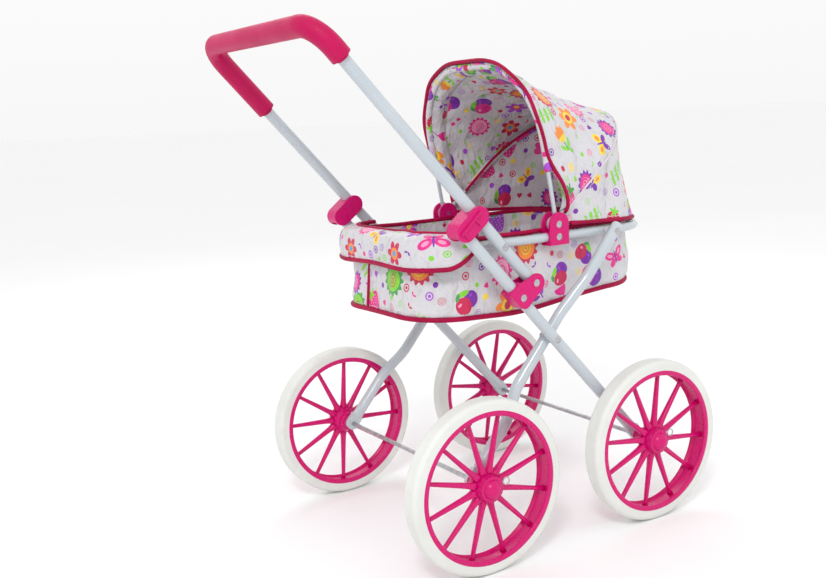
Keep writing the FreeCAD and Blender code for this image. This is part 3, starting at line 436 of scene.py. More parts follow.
def piping_cloth():
    """Crimson satin binding with a diagonal twill, a painted highlight along its bands, and small puckers."""
    g = Graph("crimson_binding")
    place = g.place()
    wave = g.new("ShaderNodeTexWave", wave_type="BANDS", bands_direction="DIAGONAL")
    g.put(wave.inputs["Vector"], place)
    wave.inputs["Scale"].default_value = 420.0
    wave.inputs["Distortion"].default_value = 0.6
    pucker = g.noise(place, 130.0, 3.0, 0.6)
    shade = g.noise(place, 30.0, 2.0)
    colour = g.mix(g.spread(shade, 0.3, 0.7, 0.0, 1.0), (0.40, 0.001, 0.055), (0.28, 0.0006, 0.036))
    # The lighter crimson along the twill's diagonal bands is a painted highlight.
    colour = g.mix(g.mul(wave.outputs["Fac"], 0.22), colour, (0.48, 0.004, 0.080))
    normal = g.bump(pucker, 0.0009, 0.8)
    normal = g.bump(wave.outputs["Fac"], 0.00010, 0.6, normal)
    return g.finish(colour, g.spread(pucker, 0.3, 0.7, 0.38, 0.56), normal, Specular_IOR_Level=0.14)


def moulded_plastic(name, light, dark, gloss=(0.23, 0.31), rounded=0.0007):
    """Glossy moulded plastic with flow marks, fine grain, scuffs and softened edges."""
    g = Graph(name)
    place = g.place()
    flow = g.noise(place, 18.0, 3.0, 0.55)
    grain = g.noise(place, 900.0, 2.0, 0.6)
    scuff = g.noise(g.scaled(place, 1.0), 210.0, 5.0, 0.7)
    colour = g.mix(g.spread(flow, 0.3, 0.7, 0.0, 1.0), light, dark)
    rubbed = tuple(min(1.0, c * 1.15 + 0.02) for c in light)
    colour = g.mix(g.spread(scuff, 0.66, 0.80, 0.0, 0.05), colour, rubbed)
    edges = None
    if rounded:
        soft = g.new("ShaderNodeBevel", samples=4)
        soft.inputs["Radius"].default_value = rounded
        edges = soft.outputs[0]
    normal = g.bump(flow, 0.0003, 0.15, edges)
    normal = g.bump(grain, 0.00003, 0.5, normal)
    rough = g.add(g.spread(scuff, 0.35, 0.70, gloss[0], gloss[1]), g.mul(grain, 0.05))
    return g.finish(colour, rough, normal, Coat_Weight=0.08, Coat_Roughness=0.12, Specular_IOR_Level=0.30)


def painted_tube():
    """White stoved enamel with orange peel and faint dust marks."""
    g = Graph("white_enamel")
    place = g.place()
    peel = g.noise(place, 650.0, 2.0, 0.5)
    cloud = g.noise(place, 14.0, 3.0, 0.5)
    mark = g.noise(place, 160.0, 6.0, 0.75)
    colour = g.mix(g.spread(cloud, 0.3, 0.7, 0.0, 1.0), (0.500, 0.550, 0.590), (0.465, 0.515, 0.555))
    colour = g.mix(g.spread(mark, 0.68, 0.80, 0.0, 0.14), colour, (0.40, 0.44, 0.47))
    normal = g.bump(peel, 0.00002, 0.25)
    normal = g.bump(mark, 0.00005, 0.15, normal)
    gloss = g.spread(mark, 0.35, 0.75, 0.18, 0.27)
    return g.finish(colour, gloss, normal, Coat_Weight=0.55, Coat_Roughness=0.08)


def foam_rubber():
    """Raspberry foam rubber: open pores, a satin skin and rubbed patches."""
    g = Graph("raspberry_foam")
    place = g.place()
    pores = g.new("ShaderNodeTexVoronoi", feature="F1")
    g.put(pores.inputs["Vector"], place)
    pores.inputs["Scale"].default_value = 1100.0
    pits = g.spread(pores.outputs["Distance"], 0.10, 0.55, 0.0, 1.0)
    grain = g.noise(place, 420.0, 4.0, 0.65)
    rub = g.noise(place, 22.0, 4.0, 0.6)
    colour = g.mix(g.spread(rub, 0.3, 0.7, 0.0, 1.0), (0.56, 0.0008, 0.098), (0.47, 0.0008, 0.078))
    # The pores are darkened towards their middles: painted shade in the pits.
    colour = g.mix(g.mul(g.math("SUBTRACT", 1.0, pits), 0.35), colour, (0.30, 0.002, 0.05))
    normal = g.bump(grain, 0.00015, 0.5)
    normal = g.bump(pits, 0.00016, 0.7, normal)
    return g.finish(colour, g.spread(rub, 0.3, 0.7, 0.36, 0.48), normal, Specular_IOR_Level=0.22)


def tyre_rubber():
    """Ivory foam rubber with a matte skin, faint smudges and a fine grain."""
    g = Graph("ivory_rubber")
    place = g.place()
    grain = g.noise(place, 520.0, 3.0, 0.6)
    cloud = g.noise(place, 20.0, 4.0, 0.6)
    smudge = g.noise(place, 70.0, 5.0, 0.7)
    colour = g.mix(g.spread(cloud, 0.3, 0.7, 0.0, 1.0), (0.735, 0.748, 0.715), (0.68, 0.69, 0.655))
    colour = g.mix(g.spread(smudge, 0.58, 0.78, 0.0, 0.35), colour, (0.53, 0.52, 0.46))
    normal = g.bump(grain, 0.00018, 0.6)
    normal = g.bump(cloud, 0.0010, 0.3, normal)
    return g.finish(colour, g.spread(smudge, 0.3, 0.7, 0.46, 0.66), normal, Specular_IOR_Level=0.4)


def metal(name, light, dark, low, high, brushed):
    """Metal with brushing or polish haze and small dull spots."""
    g = Graph(name)
    place = g.place()
    stretch = g.new("ShaderNodeMapping")
    g.put(stretch.inputs["Vector"], place)
    stretch.inputs["Scale"].default_value = (brushed, 1.0, brushed)
    lines = g.noise(stretch.outputs[0], 90.0, 4.0, 0.65)
    spots = g.noise(place, 260.0, 4.0, 0.6)
    colour = g.mix(g.spread(lines, 0.35, 0.65, 0.0, 1.0), light, dark)
    colour = g.mix(g.spread(spots, 0.62, 0.75, 0.0, 0.4), colour, tuple(c * 0.55 for c in dark))
    normal = g.bump(lines, 0.00008, 0.5)
    rough = g.add(g.spread(spots, 0.35, 0.7, low, high), g.mul(lines, 0.05))
    return g.finish(colour, rough, normal, Metallic=1.0)


def plain_cloth(name, light, dark):
    """Unprinted woven lining with a soft nap."""
    g = Graph(name)
    place = g.place()
    x, y = g.split(place)
    thread = 2 * math.pi / 0.0009
    weave = g.mul(g.math("SINE", g.mul(x, thread)), g.math("SINE", g.mul(y, thread)))
    nap = g.noise(place, 60.0, 4.0, 0.6)
    colour = g.mix(g.spread(nap, 0.3, 0.7, 0.0, 1.0), light, dark)
    normal = g.bump(nap, 0.0010, 0.6)
    normal = g.bump(weave, 0.00008, 0.7, normal)
    rough = g.spread(nap, 0.3, 0.7, 0.62, 0.80)
    return g.finish(colour, rough, normal, Sheen_Weight=0.3, Sheen_Roughness=0.5)


NYLON = printed_cloth("printed_nylon")
BINDING = piping_cloth()
HOT_PINK = (0.610, 0.0006, 0.150), (0.575, 0.0006, 0.138)
PINK_PLASTIC = moulded_plastic("hot_pink_plastic", *HOT_PINK)
WHEEL_PLASTIC = moulded_plastic("hot_pink_wheel_plastic", *HOT_PINK, rounded=0.0)
ENAMEL = painted_tube()
FOAM = foam_rubber()
IVORY = tyre_rubber()
STEEL = metal("drawn_steel", (0.52, 0.52, 0.54), (0.38, 0.38, 0.40), 0.24, 0.42, 0.12)
CHROME = metal("bright_chrome", (0.52, 0.52, 0.54), (0.42, 0.42, 0.45), 0.10, 0.22, 1.0)
PLUG = moulded_plastic("pale_plug_plastic", (0.62, 0.63, 0.67), (0.54, 0.55, 0.59), (0.38, 0.52), 0.0003)
# The faint pink in these white lining colours is mostly painted bounce light from the pink parts.
LINING = plain_cloth("white_lining", (0.68, 0.62, 0.66), (0.60, 0.55, 0.59))

SLOT_MATERIAL = {
    "painted_tube": ENAMEL, "pink_plastic": PINK_PLASTIC, "foam": FOAM, "tyre": IVORY, "steel": STEEL,
    "chrome": CHROME, "fabric": NYLON, "piping": BINDING, "board": LINING, "plug": PLUG,
}
for sub in frame["record"]["subparts"]:
    node_mesh = frame["nodes"][sub["node"]].data
    node_mesh.materials.clear()
    node_mesh.materials.append(SLOT_MATERIAL[sub["material_slot"]])


# ------------------------------------------------------------------ mesh helpers
def make_object(name, points, faces, material, cloth_uv=None, seam_uv=None):
    """Mesh object from points and faces, with one UV pair per point where given."""
    mesh = bpy.data.meshes.new(name)
    mesh.from_pydata([tuple(p) for p in points], [], faces)
    for label, values in (("cloth", cloth_uv), ("seam", seam_uv)):
        if values is not None:
            layer = mesh.uv_layers.new(name=label)
            for loop in mesh.loops:
                layer.data[loop.index].uv = values[loop.vertex_index]
    mesh.polygons.foreach_set("use_smooth", [True] * len(mesh.polygons))
    mesh.materials.append(material)
    mesh.update()
    made = bpy.data.objects.new(name, mesh)
    bpy.context.scene.collection.objects.link(made)
    return made


def grid_faces(rows, columns, closed=False, looped=False, first=0, turn=0):
    """Quads of a grid stored row by row. Closed joins the last column to the first, and looped the last
    row to the first, turned by some columns."""
    faces = []
    for i in range(rows if looped else rows - 1):
        low, high = first + i * columns, first + (i + 1) % rows * columns
        shift = turn if i == rows - 1 else 0
        for j in range(columns if closed else columns - 1):
            k = (j + 1) % columns
            faces.append((low + j, low + k, high + (k + shift) % columns, high + (j + shift) % columns))
    return faces


def end_caps(rings, sides, first=0):
    """The two polygons that close a tube of rings."""
    last = first + (rings - 1) * sides
    return [tuple(first + k for k in reversed(range(sides))), tuple(last + k for k in range(sides))]


def thicken(piece, thickness, offset=0.0):
    """Give a panel the thickness of its cloth and smooth it once."""
    solid = piece.modifiers.new("cloth", "SOLIDIFY")
    solid.thickness = thickness
    solid.offset = offset
    smooth = piece.modifiers.new("smooth", "SUBSURF")
    smooth.levels = smooth.render_levels = 1
    smooth.uv_smooth = "NONE"


def tube_rings(path, radius, sides=10, closed=False, squash=1.0):
    """Points of a tube along a path, turned as little as possible from ring to ring."""
    count = len(path)
    points = []
    side = None
    for i, p in enumerate(path):
        ahead = path[(i + 1) % count] if closed or i < count - 1 else path[i]
        behind = path[i - 1] if closed or i > 0 else path[i]
        heading = (ahead - behind).normalized()
        if side is None:
            side = heading.orthogonal().normalized()
        side = (side - heading * side.dot(heading)).normalized()
        up = heading.cross(side)
        size = radius(i / max(count - 1, 1)) if callable(radius) else radius
        for k in range(sides):
            a = 2 * math.pi * k / sides
            points.append(p + side * (math.cos(a) * size) + up * (math.sin(a) * size * squash))
    return points


def tube(name, path, radius, material, sides=10, closed=False, squash=1.0):
    """Tube along a path, capped at both ends or closed into a loop where its rings match best."""
    points = tube_rings(path, radius, sides, closed, squash)
    rings = len(path)
    if closed:
        last = points[-sides:]

        def gap(n):
            return sum((last[k] - points[(k + n) % sides]).length for k in range(sides))

        faces = grid_faces(rings, sides, closed=True, looped=True, turn=min(range(sides), key=gap))
    else:
        faces = grid_faces(rings, sides, closed=True) + end_caps(rings, sides)
    return make_object(name, points, faces, material)


def rounded_ends(length, radius, cap):
    """Radius along a tube, from 0 to 1, that closes roundly over the cap length at both ends."""
    def size(t):
        near = min(t, 1 - t) * length
        if near >= cap:
            return radius
        fall = 1 - near / cap
        return radius * max(0.25, math.sqrt(max(0.0, 1 - fall * fall)))
    return size


def resample(path, count):
    """Points evenly spaced along a path of straight steps, its ends kept."""
    steps = running_length(path)
    made, k = [], 0
    for n in range(count):
        want = steps[-1] * n / (count - 1)
        while k < len(steps) - 2 and steps[k + 1] < want:
            k += 1
        span = steps[k + 1] - steps[k]
        made.append(path[k].lerp(path[k + 1], (want - steps[k]) / span if span else 0.0))
    return made


def running_length(path):
    """Distance along a path at each of its points."""
    steps = [0.0]
    for a, b in zip(path, path[1:]):
        steps.append(steps[-1] + (b - a).length)
    return steps


def path_length(path):
    return running_length(path)[-1]


def arch_path(side, reach, corner, start):
    """Arch in a hoop's plane, as (out from the pivot, y), from the right foot over to the left."""
    turn = 14
    path = [Vector((start, -side))]
    for sign in (-1, 1):
        centre = Vector((reach - corner, sign * (side - corner)))
        for n in range(turn + 1):
            a = math.radians(90 * n / turn)
            if sign < 0:
                path.append(centre + Vector((math.sin(a), -math.cos(a))) * corner)
            else:
                path.append(centre + Vector((math.cos(a), math.sin(a))) * corner)
    path.append(Vector((start, side)))
    return path


def hood_point(flat, angle):
    """Point of a hoop's plane, at an angle up from +X about the hood pivot."""
    a = math.radians(angle)
    return Vector((HOOD.x + flat.x * math.cos(a), flat.y, HOOD.z + flat.x * math.sin(a)))


# ------------------------------------------------------------------ hood
# Angles up from +X about the hood pivot, and each arch's half width, reach and corner radius.
FRONT_ANGLE, MID_ANGLE, HEAD_ANGLE = 100.9, 40.0, -2.0
FRONT_ARCH = (0.1164, 0.1890, 0.0920)
MID_ARCH = (0.1112, 0.1914, 0.1076)
HEAD_ARCH = (0.1130, 0.1510, 0.0620)
SEAM_ARCH = (MID_ARCH[0] + 0.0003, MID_ARCH[1] + 0.0003, MID_ARCH[2])
INNER_SEAM_ARCH = (MID_ARCH[0] - 0.0065, MID_ARCH[1] - 0.0085, MID_ARCH[2] - 0.0070)
FRONT_HOOP_ARCH, FRONT_HOOP_ANGLE = (0.1126, 0.1810, 0.0880), 99.6
MID_HOOP_ARCH = (0.1074, 0.1860, 0.1030)
FOOT_START = 0.0188
FRONT_FOOT_ANGLE = 50.0
SWEEP_REACH = 0.085
ARCH_COLUMNS = 97
SEAM_GAP = 0.4
PIPING_RADIUS = 0.0026
PIPING_SQUASH = 0.82
FACING_WIDTH = 0.034
FACING_ROWS = 7


def arch_ring(arch, start, angle, count=ARCH_COLUMNS, foot_angle=None):
    """Points along an arch; near the pivot they may sweep round to another angle."""
    ring = []
    for p in resample([Vector((*q, 0)) for q in arch_path(*arch, start)], count):
        near = 0.0
        if foot_angle is not None:
            near = max(0.0, (SWEEP_REACH - p.x) / (SWEEP_REACH - start)) ** 2.0
        ring.append(hood_point(p, angle + ((foot_angle or angle) - angle) * near))
    return ring


def fold_noise(p, scale, seed):
    return noise.noise(Vector((p.x * scale + seed, p.y * scale, p.z * scale)))


def gore(name, low_ring, high_ring, rows, sag, folds, seed):
    """Curved cloth panel between two rings, drawn in towards the pivot axis between them."""
    columns = len(low_ring)
    points, cloth, seam = [], [], []
    middle = [a.lerp(b, 0.5) for a, b in zip(low_ring, high_ring)]
    across = running_length(middle)
    half = across[-1] / 2
    for i in range(rows):
        v = i / (rows - 1)
        for j in range(columns):
            a, b = low_ring[j], high_ring[j]
            p = a.lerp(b, v)
            width = (b - a).length
            radial = Vector((p.x - HOOD.x, 0, p.z - HOOD.z))
            top = min(1.0, max(0.0, (radial.length - 0.05) / 0.12))
            y_share = p.y / 0.115
            sideways = abs(y_share) ** 3
            outwards = radial.normalized() * (1 - sideways) + Vector((0, math.copysign(sideways, y_share), 0))
            belly = math.sin(math.pi * v) ** 0.9
            crease = fold_noise(p, 22.0, seed) * 0.6 + fold_noise(p, 48.0, seed + 5) * 0.4
            fan = math.sin(across[j] * 95.0 + seed + 2.5 * fold_noise(p, 9.0, seed + 9)) * (1 - top)
            pull = sag * belly * top + folds * belly * (crease + 0.35 * fan)
            points.append(p - outwards.normalized() * pull)
            cloth.append((across[j] - half + seed, (v - 0.5) * width))
            seam.append((across[j], min(v, 1 - v) * width))
    panel = make_object(name, points, grid_faces(rows, columns), NYLON, cloth, seam)
    thicken(panel, 0.0009)
    return panel


front_ring = arch_ring(FRONT_ARCH, FOOT_START + 0.004, FRONT_ANGLE, foot_angle=FRONT_FOOT_ANGLE)
mid_front_ring = arch_ring(MID_ARCH, FOOT_START, MID_ANGLE + SEAM_GAP)
mid_rear_ring = arch_ring(MID_ARCH, FOOT_START, MID_ANGLE - SEAM_GAP)
head_ring = arch_ring(HEAD_ARCH, FOOT_START + 0.001, HEAD_ANGLE)
for k, p in enumerate(front_ring):
    p.x += 0.0011 * math.sin(k * 0.55) + 0.0016 * fold_noise(p, 16.0, 3.0)

hood_front = gore("hood_front_sheet", mid_front_ring, front_ring, 33, 0.0075, 0.0058, 1.3)
hood_rear = gore("hood_rear_sheet", head_ring, mid_rear_ring, 25, 0.0050, 0.0062, 7.9)
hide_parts("hood_front_cover")
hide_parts("hood_rear_cover")


def edge_path(ring, foot_ring):
    """Bound edge of a gore along its ring, with its two ends led to another ring's feet."""
    steps = 6
    smoothings = 6
    right = [foot_ring[0].lerp(ring[0], k / steps) for k in range(steps)]
    left = [ring[-1].lerp(foot_ring[-1], (k + 1) / steps) for k in range(steps)]
    path = right + ring + left
    for _ in range(smoothings):
        path = path[:1] + [(a + b * 2 + c) / 4 for a, b, c in zip(path, path[1:], path[2:])] + path[-1:]
    return path


front_edge = tube("hood_front_binding", edge_path(front_ring, mid_front_ring), PIPING_RADIUS,
                  BINDING, squash=PIPING_SQUASH)
head_edge = tube("hood_head_binding", head_ring, PIPING_RADIUS, BINDING, squash=PIPING_SQUASH)
mid_seam = tube("hood_outer_seam", arch_ring(SEAM_ARCH, FOOT_START, MID_ANGLE), 0.0013, LINING)
inner_seam = tube("hood_inner_seam_binding", arch_ring(INNER_SEAM_ARCH, 0.040, MID_ANGLE + 1.0), 0.0019,
                  BINDING)


def hoop_sleeve(name, hoop_arch, angle, start, body):
    """Cloth channel sewn round a hoop's rod."""
    radius = 0.0034
    sides = 16
    rings = 81
    path = arch_ring(hoop_arch, start, angle, rings)
    length = path_length(path)
    points, cloth, seam = [], [], []
    for n, q in enumerate(tube_rings(path, radius, sides)):
        i, k = divmod(n, sides)
        points.append(path[i] + (q - path[i]) * (1 + 0.07 * fold_noise(q, 70.0, 11.0)))
        cloth.append((i * length / rings, 2 * math.pi * radius * k / sides))
        seam.append((i * 0.004, 0.02))
    faces = grid_faces(rings, sides, closed=True)
    piece = make_object(name, points, faces, NYLON, cloth, seam)
    thicken(piece, 0.0006, 1.0)
    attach(piece, body)
    return piece


front_sleeve = hoop_sleeve("front_hoop_sleeve", FRONT_HOOP_ARCH, FRONT_HOOP_ANGLE, 0.060, "hood_front")
mid_sleeve = hoop_sleeve("mid_hoop_sleeve", MID_HOOP_ARCH, MID_ANGLE, 0.045, "hood_mid")


def front_facing():
    """Strip turned in along the front edge, inside the hood."""
    pitch = 0.0058
    points, cloth, seam = [], [], []
    for i in range(FACING_ROWS):
        v = i / (FACING_ROWS - 1)
        swell = 0.0090 * math.sin(math.pi * min(1.0, v * 0.94 + 0.06)) + 0.0016 * v
        for k, (edge, inner) in enumerate(zip(front_ring, mid_front_ring)):
            share = min(1.0, FACING_WIDTH / max((inner - edge).length, 1e-6))
            p = edge.lerp(edge.lerp(inner, share), v)
            inward = HOOD - p
            inward.y = -p.y * 0.6
            points.append(p + inward.normalized() * (0.0012 + swell))
            cloth.append((k * pitch + 6.31, v * FACING_WIDTH + 0.4))
            seam.append((k * pitch, (1 - v) * FACING_WIDTH))
    faces = grid_faces(FACING_ROWS, len(front_ring))
    piece = make_object("hood_front_facing", points, faces, NYLON, cloth, seam)
    thicken(piece, 0.0006)
    return piece


def blend_across(pieces):
    """Bake each piece's placement into its mesh."""
    for piece in pieces:
        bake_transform(piece)


facing = front_facing()
blend_across([hood_front, front_edge, facing])
blend_across([hood_rear, head_edge])
for piece in (mid_seam, inner_seam):
    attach(piece, "hood_mid")


# ------------------------------------------------------------------ basket
def plan_loop(x_low, x_high, half_width, corner, count):
    """Closed rounded rectangle in plan, from the middle of the right side towards the foot."""
    middle = (x_low + x_high) / 2
    path = [Vector((middle, -half_width, 0))]
    corners = [(x_low + corner, -half_width + corner, 270), (x_low + corner, half_width - corner, 180),
               (x_high - corner, half_width - corner, 90), (x_high - corner, -half_width + corner, 0)]
    turn = 16
    for cx, cy, start in corners:
        for n in range(turn + 1):
            a = math.radians(start - 90 * n / turn)
            path.append(Vector((cx + math.cos(a) * corner, cy + math.sin(a) * corner, 0)))
    path.append(path[0].copy())
    return resample(path, count + 1)[:-1]


FLOOR_Z = BASKET_LOW.z
RIM_Z = BASKET_HIGH.z
FOOT_BELLY = 0.0058
FLOOR_LOOP = (BASKET_LOW.x - FOOT_BELLY, BASKET_HIGH.x, BASKET_HIGH.y, 0.058)
RIM_INSET_FOOT = 0.0085
RIM_INSET_HEAD = 0.0040
RIM_LOOP = (BASKET_LOW.x + RIM_INSET_FOOT, BASKET_HIGH.x - RIM_INSET_HEAD, BASKET_HIGH.y - 0.0012, 0.050)
LOOP_COUNT = 168
floor_loop = plan_loop(*FLOOR_LOOP, LOOP_COUNT)
rim_loop = plan_loop(*RIM_LOOP, LOOP_COUNT)
loop_centre = Vector(((FLOOR_LOOP[0] + FLOOR_LOOP[1]) / 2, 0, 0))
around = running_length(floor_loop + floor_loop[:1])


def outward(loop, j):
    """Direction out of a loop in plan, square to it at one of its points."""
    ahead = loop[(j + 1) % len(loop)] - loop[j - 1]
    square = Vector((-ahead.y, ahead.x, 0))
    return square.normalized() * (1 if square.dot(loop[j] - loop_centre) > 0 else -1)


def seam_height(j):
    """The floor seam hangs a little lower between the frame's supports."""
    along = (floor_loop[j].x - FLOOR_LOOP[0]) / (FLOOR_LOOP[1] - FLOOR_LOOP[0])
    sag = 0.0030 + 0.0030 * math.sin(math.pi * min(1.0, along * 1.25))
    ripple = 0.0009 * math.sin(floor_loop[j].x * 38.0 + floor_loop[j].y * 21.0)
    return 0.0215 * max(0.0, along - 0.35) ** 1.2 + ripple - sag


WALL_ROWS = 22
WALL_PRINT_START = 3.47
points, cloth, seam = [], [], []
for i in range(WALL_ROWS):
    v = i / (WALL_ROWS - 1)
    for j in range(LOOP_COUNT):
        low = floor_loop[j] + Vector((0, 0, FLOOR_Z + seam_height(j)))
        high = rim_loop[j] + Vector((0, 0, RIM_Z))
        p = low.lerp(high, v)
        out = outward(floor_loop, j)
        belly = math.sin(math.pi * min(1.0, v * 1.05))
        tuck = -0.0026 * math.exp(-(v / 0.06) ** 2)
        folds = 0.0042 * fold_noise(p, 17.0, 21.0) + 0.0036 * fold_noise(p, 42.0, 33.0)
        drape = 0.0011 * math.sin(around[j] * 72.0 + 3.0 * fold_noise(p, 8.0, 2.0)) * (1 - v) ** 0.5
        p = p + out * (belly * (0.0008 + folds + drape) + tuck)
        points.append(p)
        cloth.append((around[j] + WALL_PRINT_START, v * (RIM_Z - FLOOR_Z)))
        seam.append((around[j], min(v, 1 - v) * (RIM_Z - FLOOR_Z)))
wall_faces = grid_faces(WALL_ROWS, LOOP_COUNT, closed=True)
wall = make_object("basket_wall_sheet", points, wall_faces, NYLON, cloth, seam)
# The last column's UVs run on past the first column's, so that the print isn't drawn backwards there.
for label, print_start in (("cloth", WALL_PRINT_START), ("seam", 0.0)):
    layer = wall.data.uv_layers[label].data
    for polygon in wall.data.polygons:
        us = [layer[i].uv.x for i in polygon.loop_indices]
        if max(us) - min(us) > around[-1] / 2:
            for i in polygon.loop_indices:
                if layer[i].uv.x < around[-1] / 2 + print_start:
                    layer[i].uv.x += around[-1]
thicken(wall, 0.0010)
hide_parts("basket_fabric")

# Floor panel: rings from the seam to the middle, sagging.
RINGS = 12
points, cloth, seam = [], [], []
for i in range(RINGS):
    share = 1 - i / RINGS
    for j in range(LOOP_COUNT):
        edge = floor_loop[j] + outward(floor_loop, j) * -0.0026
        flat = loop_centre.lerp(edge, share)
        depth = 0.0056 * (1 - share ** 3)
        folds = 0.0018 * fold_noise(flat, 19.0, 44.0) * (1 - share ** 6)
        height = FLOOR_Z + seam_height(j) * share ** 2 - depth + folds + 0.0006
        points.append(Vector((flat.x, flat.y, height)))
        cloth.append((flat.x + 0.9, flat.y))
        seam.append((around[j], (1 - share) * 0.1))
points.append(Vector((loop_centre.x, 0, FLOOR_Z - 0.0050)))
cloth.append((loop_centre.x + 0.9, 0.0))
seam.append((0.0, 0.1))
faces = grid_faces(RINGS, LOOP_COUNT, closed=True)
last = (RINGS - 1) * LOOP_COUNT
for j in range(LOOP_COUNT):
    faces.append((last + j, last + (j + 1) % LOOP_COUNT, len(points) - 1))
floor_panel = make_object("basket_floor_sheet", points, faces, NYLON, cloth, seam)
thicken(floor_panel, 0.0010)

seam_path = [floor_loop[j] + outward(floor_loop, j) * -0.0008 + Vector((0, 0, FLOOR_Z + seam_height(j)))
             for j in range(LOOP_COUNT)]
floor_binding = tube("basket_floor_binding", seam_path, 0.0028, BINDING, closed=True)
rim_path = []
for j, p in enumerate(rim_loop):
    rise = 0.0012 + 0.0009 * fold_noise(p, 25.0, 6.0)
    rim_path.append(p + outward(rim_loop, j) * 0.0006 + Vector((0, 0, RIM_Z + rise)))
rim_binding = tube("basket_rim_binding", rim_path, 0.0026, BINDING, closed=True)

# Upright bound seams on the foot end and the head end.
uprights = []
for label, want in (("foot", Vector((FLOOR_LOOP[0], 0.024, 0))), ("head", Vector((FLOOR_LOOP[1], 0.0, 0)))):
    j = min(range(LOOP_COUNT), key=lambda n: (floor_loop[n] - want).length)
    path = []
    for i in range(WALL_ROWS):
        v = i / (WALL_ROWS - 1)
        p = Vector(wall.data.vertices[i * LOOP_COUNT + j].co)
        path.append(p + outward(floor_loop, j) * (0.0006 + 0.0010 * math.sin(v * 7.0) * math.sin(math.pi * v))
                    + Vector((0, 0.0025 * math.sin(math.pi * v), 0)))
    uprights.append(tube("basket_%s_binding" % label, resample(path[:-1], 40), 0.0019, BINDING))
for piece in [wall, floor_panel, floor_binding, rim_binding] + uprights:
    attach(piece, "carrycot")

# Padded base over the stiff board.
BOARD_LOW, BOARD_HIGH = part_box("base_board")
board_loop = plan_loop(BOARD_LOW.x, BOARD_HIGH.x, BOARD_HIGH.y, 0.050, LOOP_COUNT)
pad_profile = [(0.0010, 0.0), (0.0, 0.0008), (0.0, 0.0020), (0.0012, 0.0033), (0.0060, 0.0041),
               (0.020, 0.0049), (0.045, 0.0054), (0.070, 0.0054)]
points, cloth = [], []
for inset, rise in pad_profile:
    for j in range(LOOP_COUNT):
        p = board_loop[j] + outward(board_loop, j) * -inset
        dimple = 0.0007 * fold_noise(p, 30.0, 51.0) * (1 if rise > 0.004 else 0)
        points.append(Vector((p.x, p.y, BOARD_LOW.z + rise + dimple)))
points.append(Vector((loop_centre.x, 0, BOARD_LOW.z + 0.0054)))
points.append(Vector((loop_centre.x, 0, BOARD_LOW.z)))
faces = grid_faces(len(pad_profile), LOOP_COUNT, closed=True)
last = (len(pad_profile) - 1) * LOOP_COUNT
for j in range(LOOP_COUNT):
    k = (j + 1) % LOOP_COUNT
    faces.append((last + j, last + k, len(points) - 2))
    faces.append((k, j, len(points) - 1))
base_pad = make_object("base_pad", points, faces, LINING)
base_pad.modifiers.new("smooth", "SUBSURF").render_levels = 1
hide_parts("base_board")
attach(base_pad, "carrycot")

# ------------------------------------------------------------------ foot cover
rail_path = [Vector((APRON_END, -RAIL_SIDE, 0)), Vector((RAIL_FOOT + RAIL_CORNER, -RAIL_SIDE, 0))]
for sign in (-1, 1):
    for n in range(13):
        a = math.radians(90 * n / 12)
        across_corner = (-math.sin(a), -math.cos(a)) if sign < 0 else (-math.cos(a), math.sin(a))
        rail_path.append(Vector((RAIL_FOOT + RAIL_CORNER + across_corner[0] * RAIL_CORNER,
                                 sign * (RAIL_SIDE - RAIL_CORNER) + across_corner[1] * RAIL_CORNER, 0)))
rail_path.append(Vector((APRON_END, RAIL_SIDE, 0)))
COVER_COLUMNS = 101
rail_path = resample(rail_path, COVER_COLUMNS)
cover_length = path_length(rail_path)
# Section across the rail: out from the rail's line, and up from it.
SECTION = [(-0.0125, 0.0148), (-0.0080, 0.0146), (-0.0035, 0.0142), (0.0012, 0.0132), (0.0056, 0.0112),
           (0.0088, 0.0078), (0.0106, 0.0028), (0.0113, -0.0034), (0.0114, -0.0100), (0.0108, -0.0160),
           (0.0100, -0.0205)]
fine_section = resample([Vector((*p, 0)) for p in SECTION], 23)
section_length = path_length(fine_section)
points, cloth, seam = [], [], []
for i, s in enumerate(fine_section):
    v = i / (len(fine_section) - 1)
    for j in range(COVER_COLUMNS):
        here = rail_path[j]
        ahead = rail_path[min(j + 1, COVER_COLUMNS - 1)] - rail_path[max(j - 1, 0)]
        out = Vector((-ahead.y, ahead.x, 0)).normalized()
        from_end = min(j, COVER_COLUMNS - 1 - j) / (COVER_COLUMNS - 1) * cover_length
        lift = 1 - min(1.0, from_end / 0.030)
        low = -0.0205 + 0.0235 * lift ** 1.8
        rise = s.y if s.y > 0.0026 else 0.0026 + (s.y - 0.0026) * (0.0026 - low) / 0.0231
        p = here + out * s.x + Vector((0, 0, RAIL_Z + rise))
        swell = fold_noise(p, 24.0, 61.0) * 0.0016 + fold_noise(p, 55.0, 71.0) * 0.0007
        droop = 0.0014 * math.sin(from_end * 50.0 + 1.0) * v
        weight = min(1.0, 2.5 * v) * (1 - 0.3 * v)
        p += out * (swell * weight * 0.8) + Vector((0, 0, max(swell, -0.0005) * (1 - v) + droop * 0.6))
        points.append(p)
        cloth.append((j / (COVER_COLUMNS - 1) * cover_length + 5.13, v * section_length + 0.25))
        seam.append((j * 0.004, min(v * section_length, (1 - v) * section_length)))
cover_faces = grid_faces(len(fine_section), COVER_COLUMNS)
cover = make_object("foot_cover_sheet", points, cover_faces, NYLON, cloth, seam)


def cover_point(row, column):
    return Vector(cover.data.vertices[row * COVER_COLUMNS + column].co)


last_row = len(fine_section) - 1
hem = [cover_point(last_row, j) for j in range(COVER_COLUMNS)]
right_rise = [cover_point(i, 0) for i in range(4, last_row, 2)]
left_rise = [cover_point(i, COVER_COLUMNS - 1) for i in range(last_row - 1, 3, -2)]
thicken(cover, 0.0010)
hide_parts("foot_apron")
hem_binding = tube("foot_cover_binding", right_rise + hem + left_rise, 0.0028, BINDING)
lip = [cover_point(0, j) for j in range(COVER_COLUMNS)]
lip_binding = tube("foot_cover_lip_binding", lip, 0.0025, BINDING)
for piece in (cover, hem_binding, lip_binding):
    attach(piece, "carrycot")

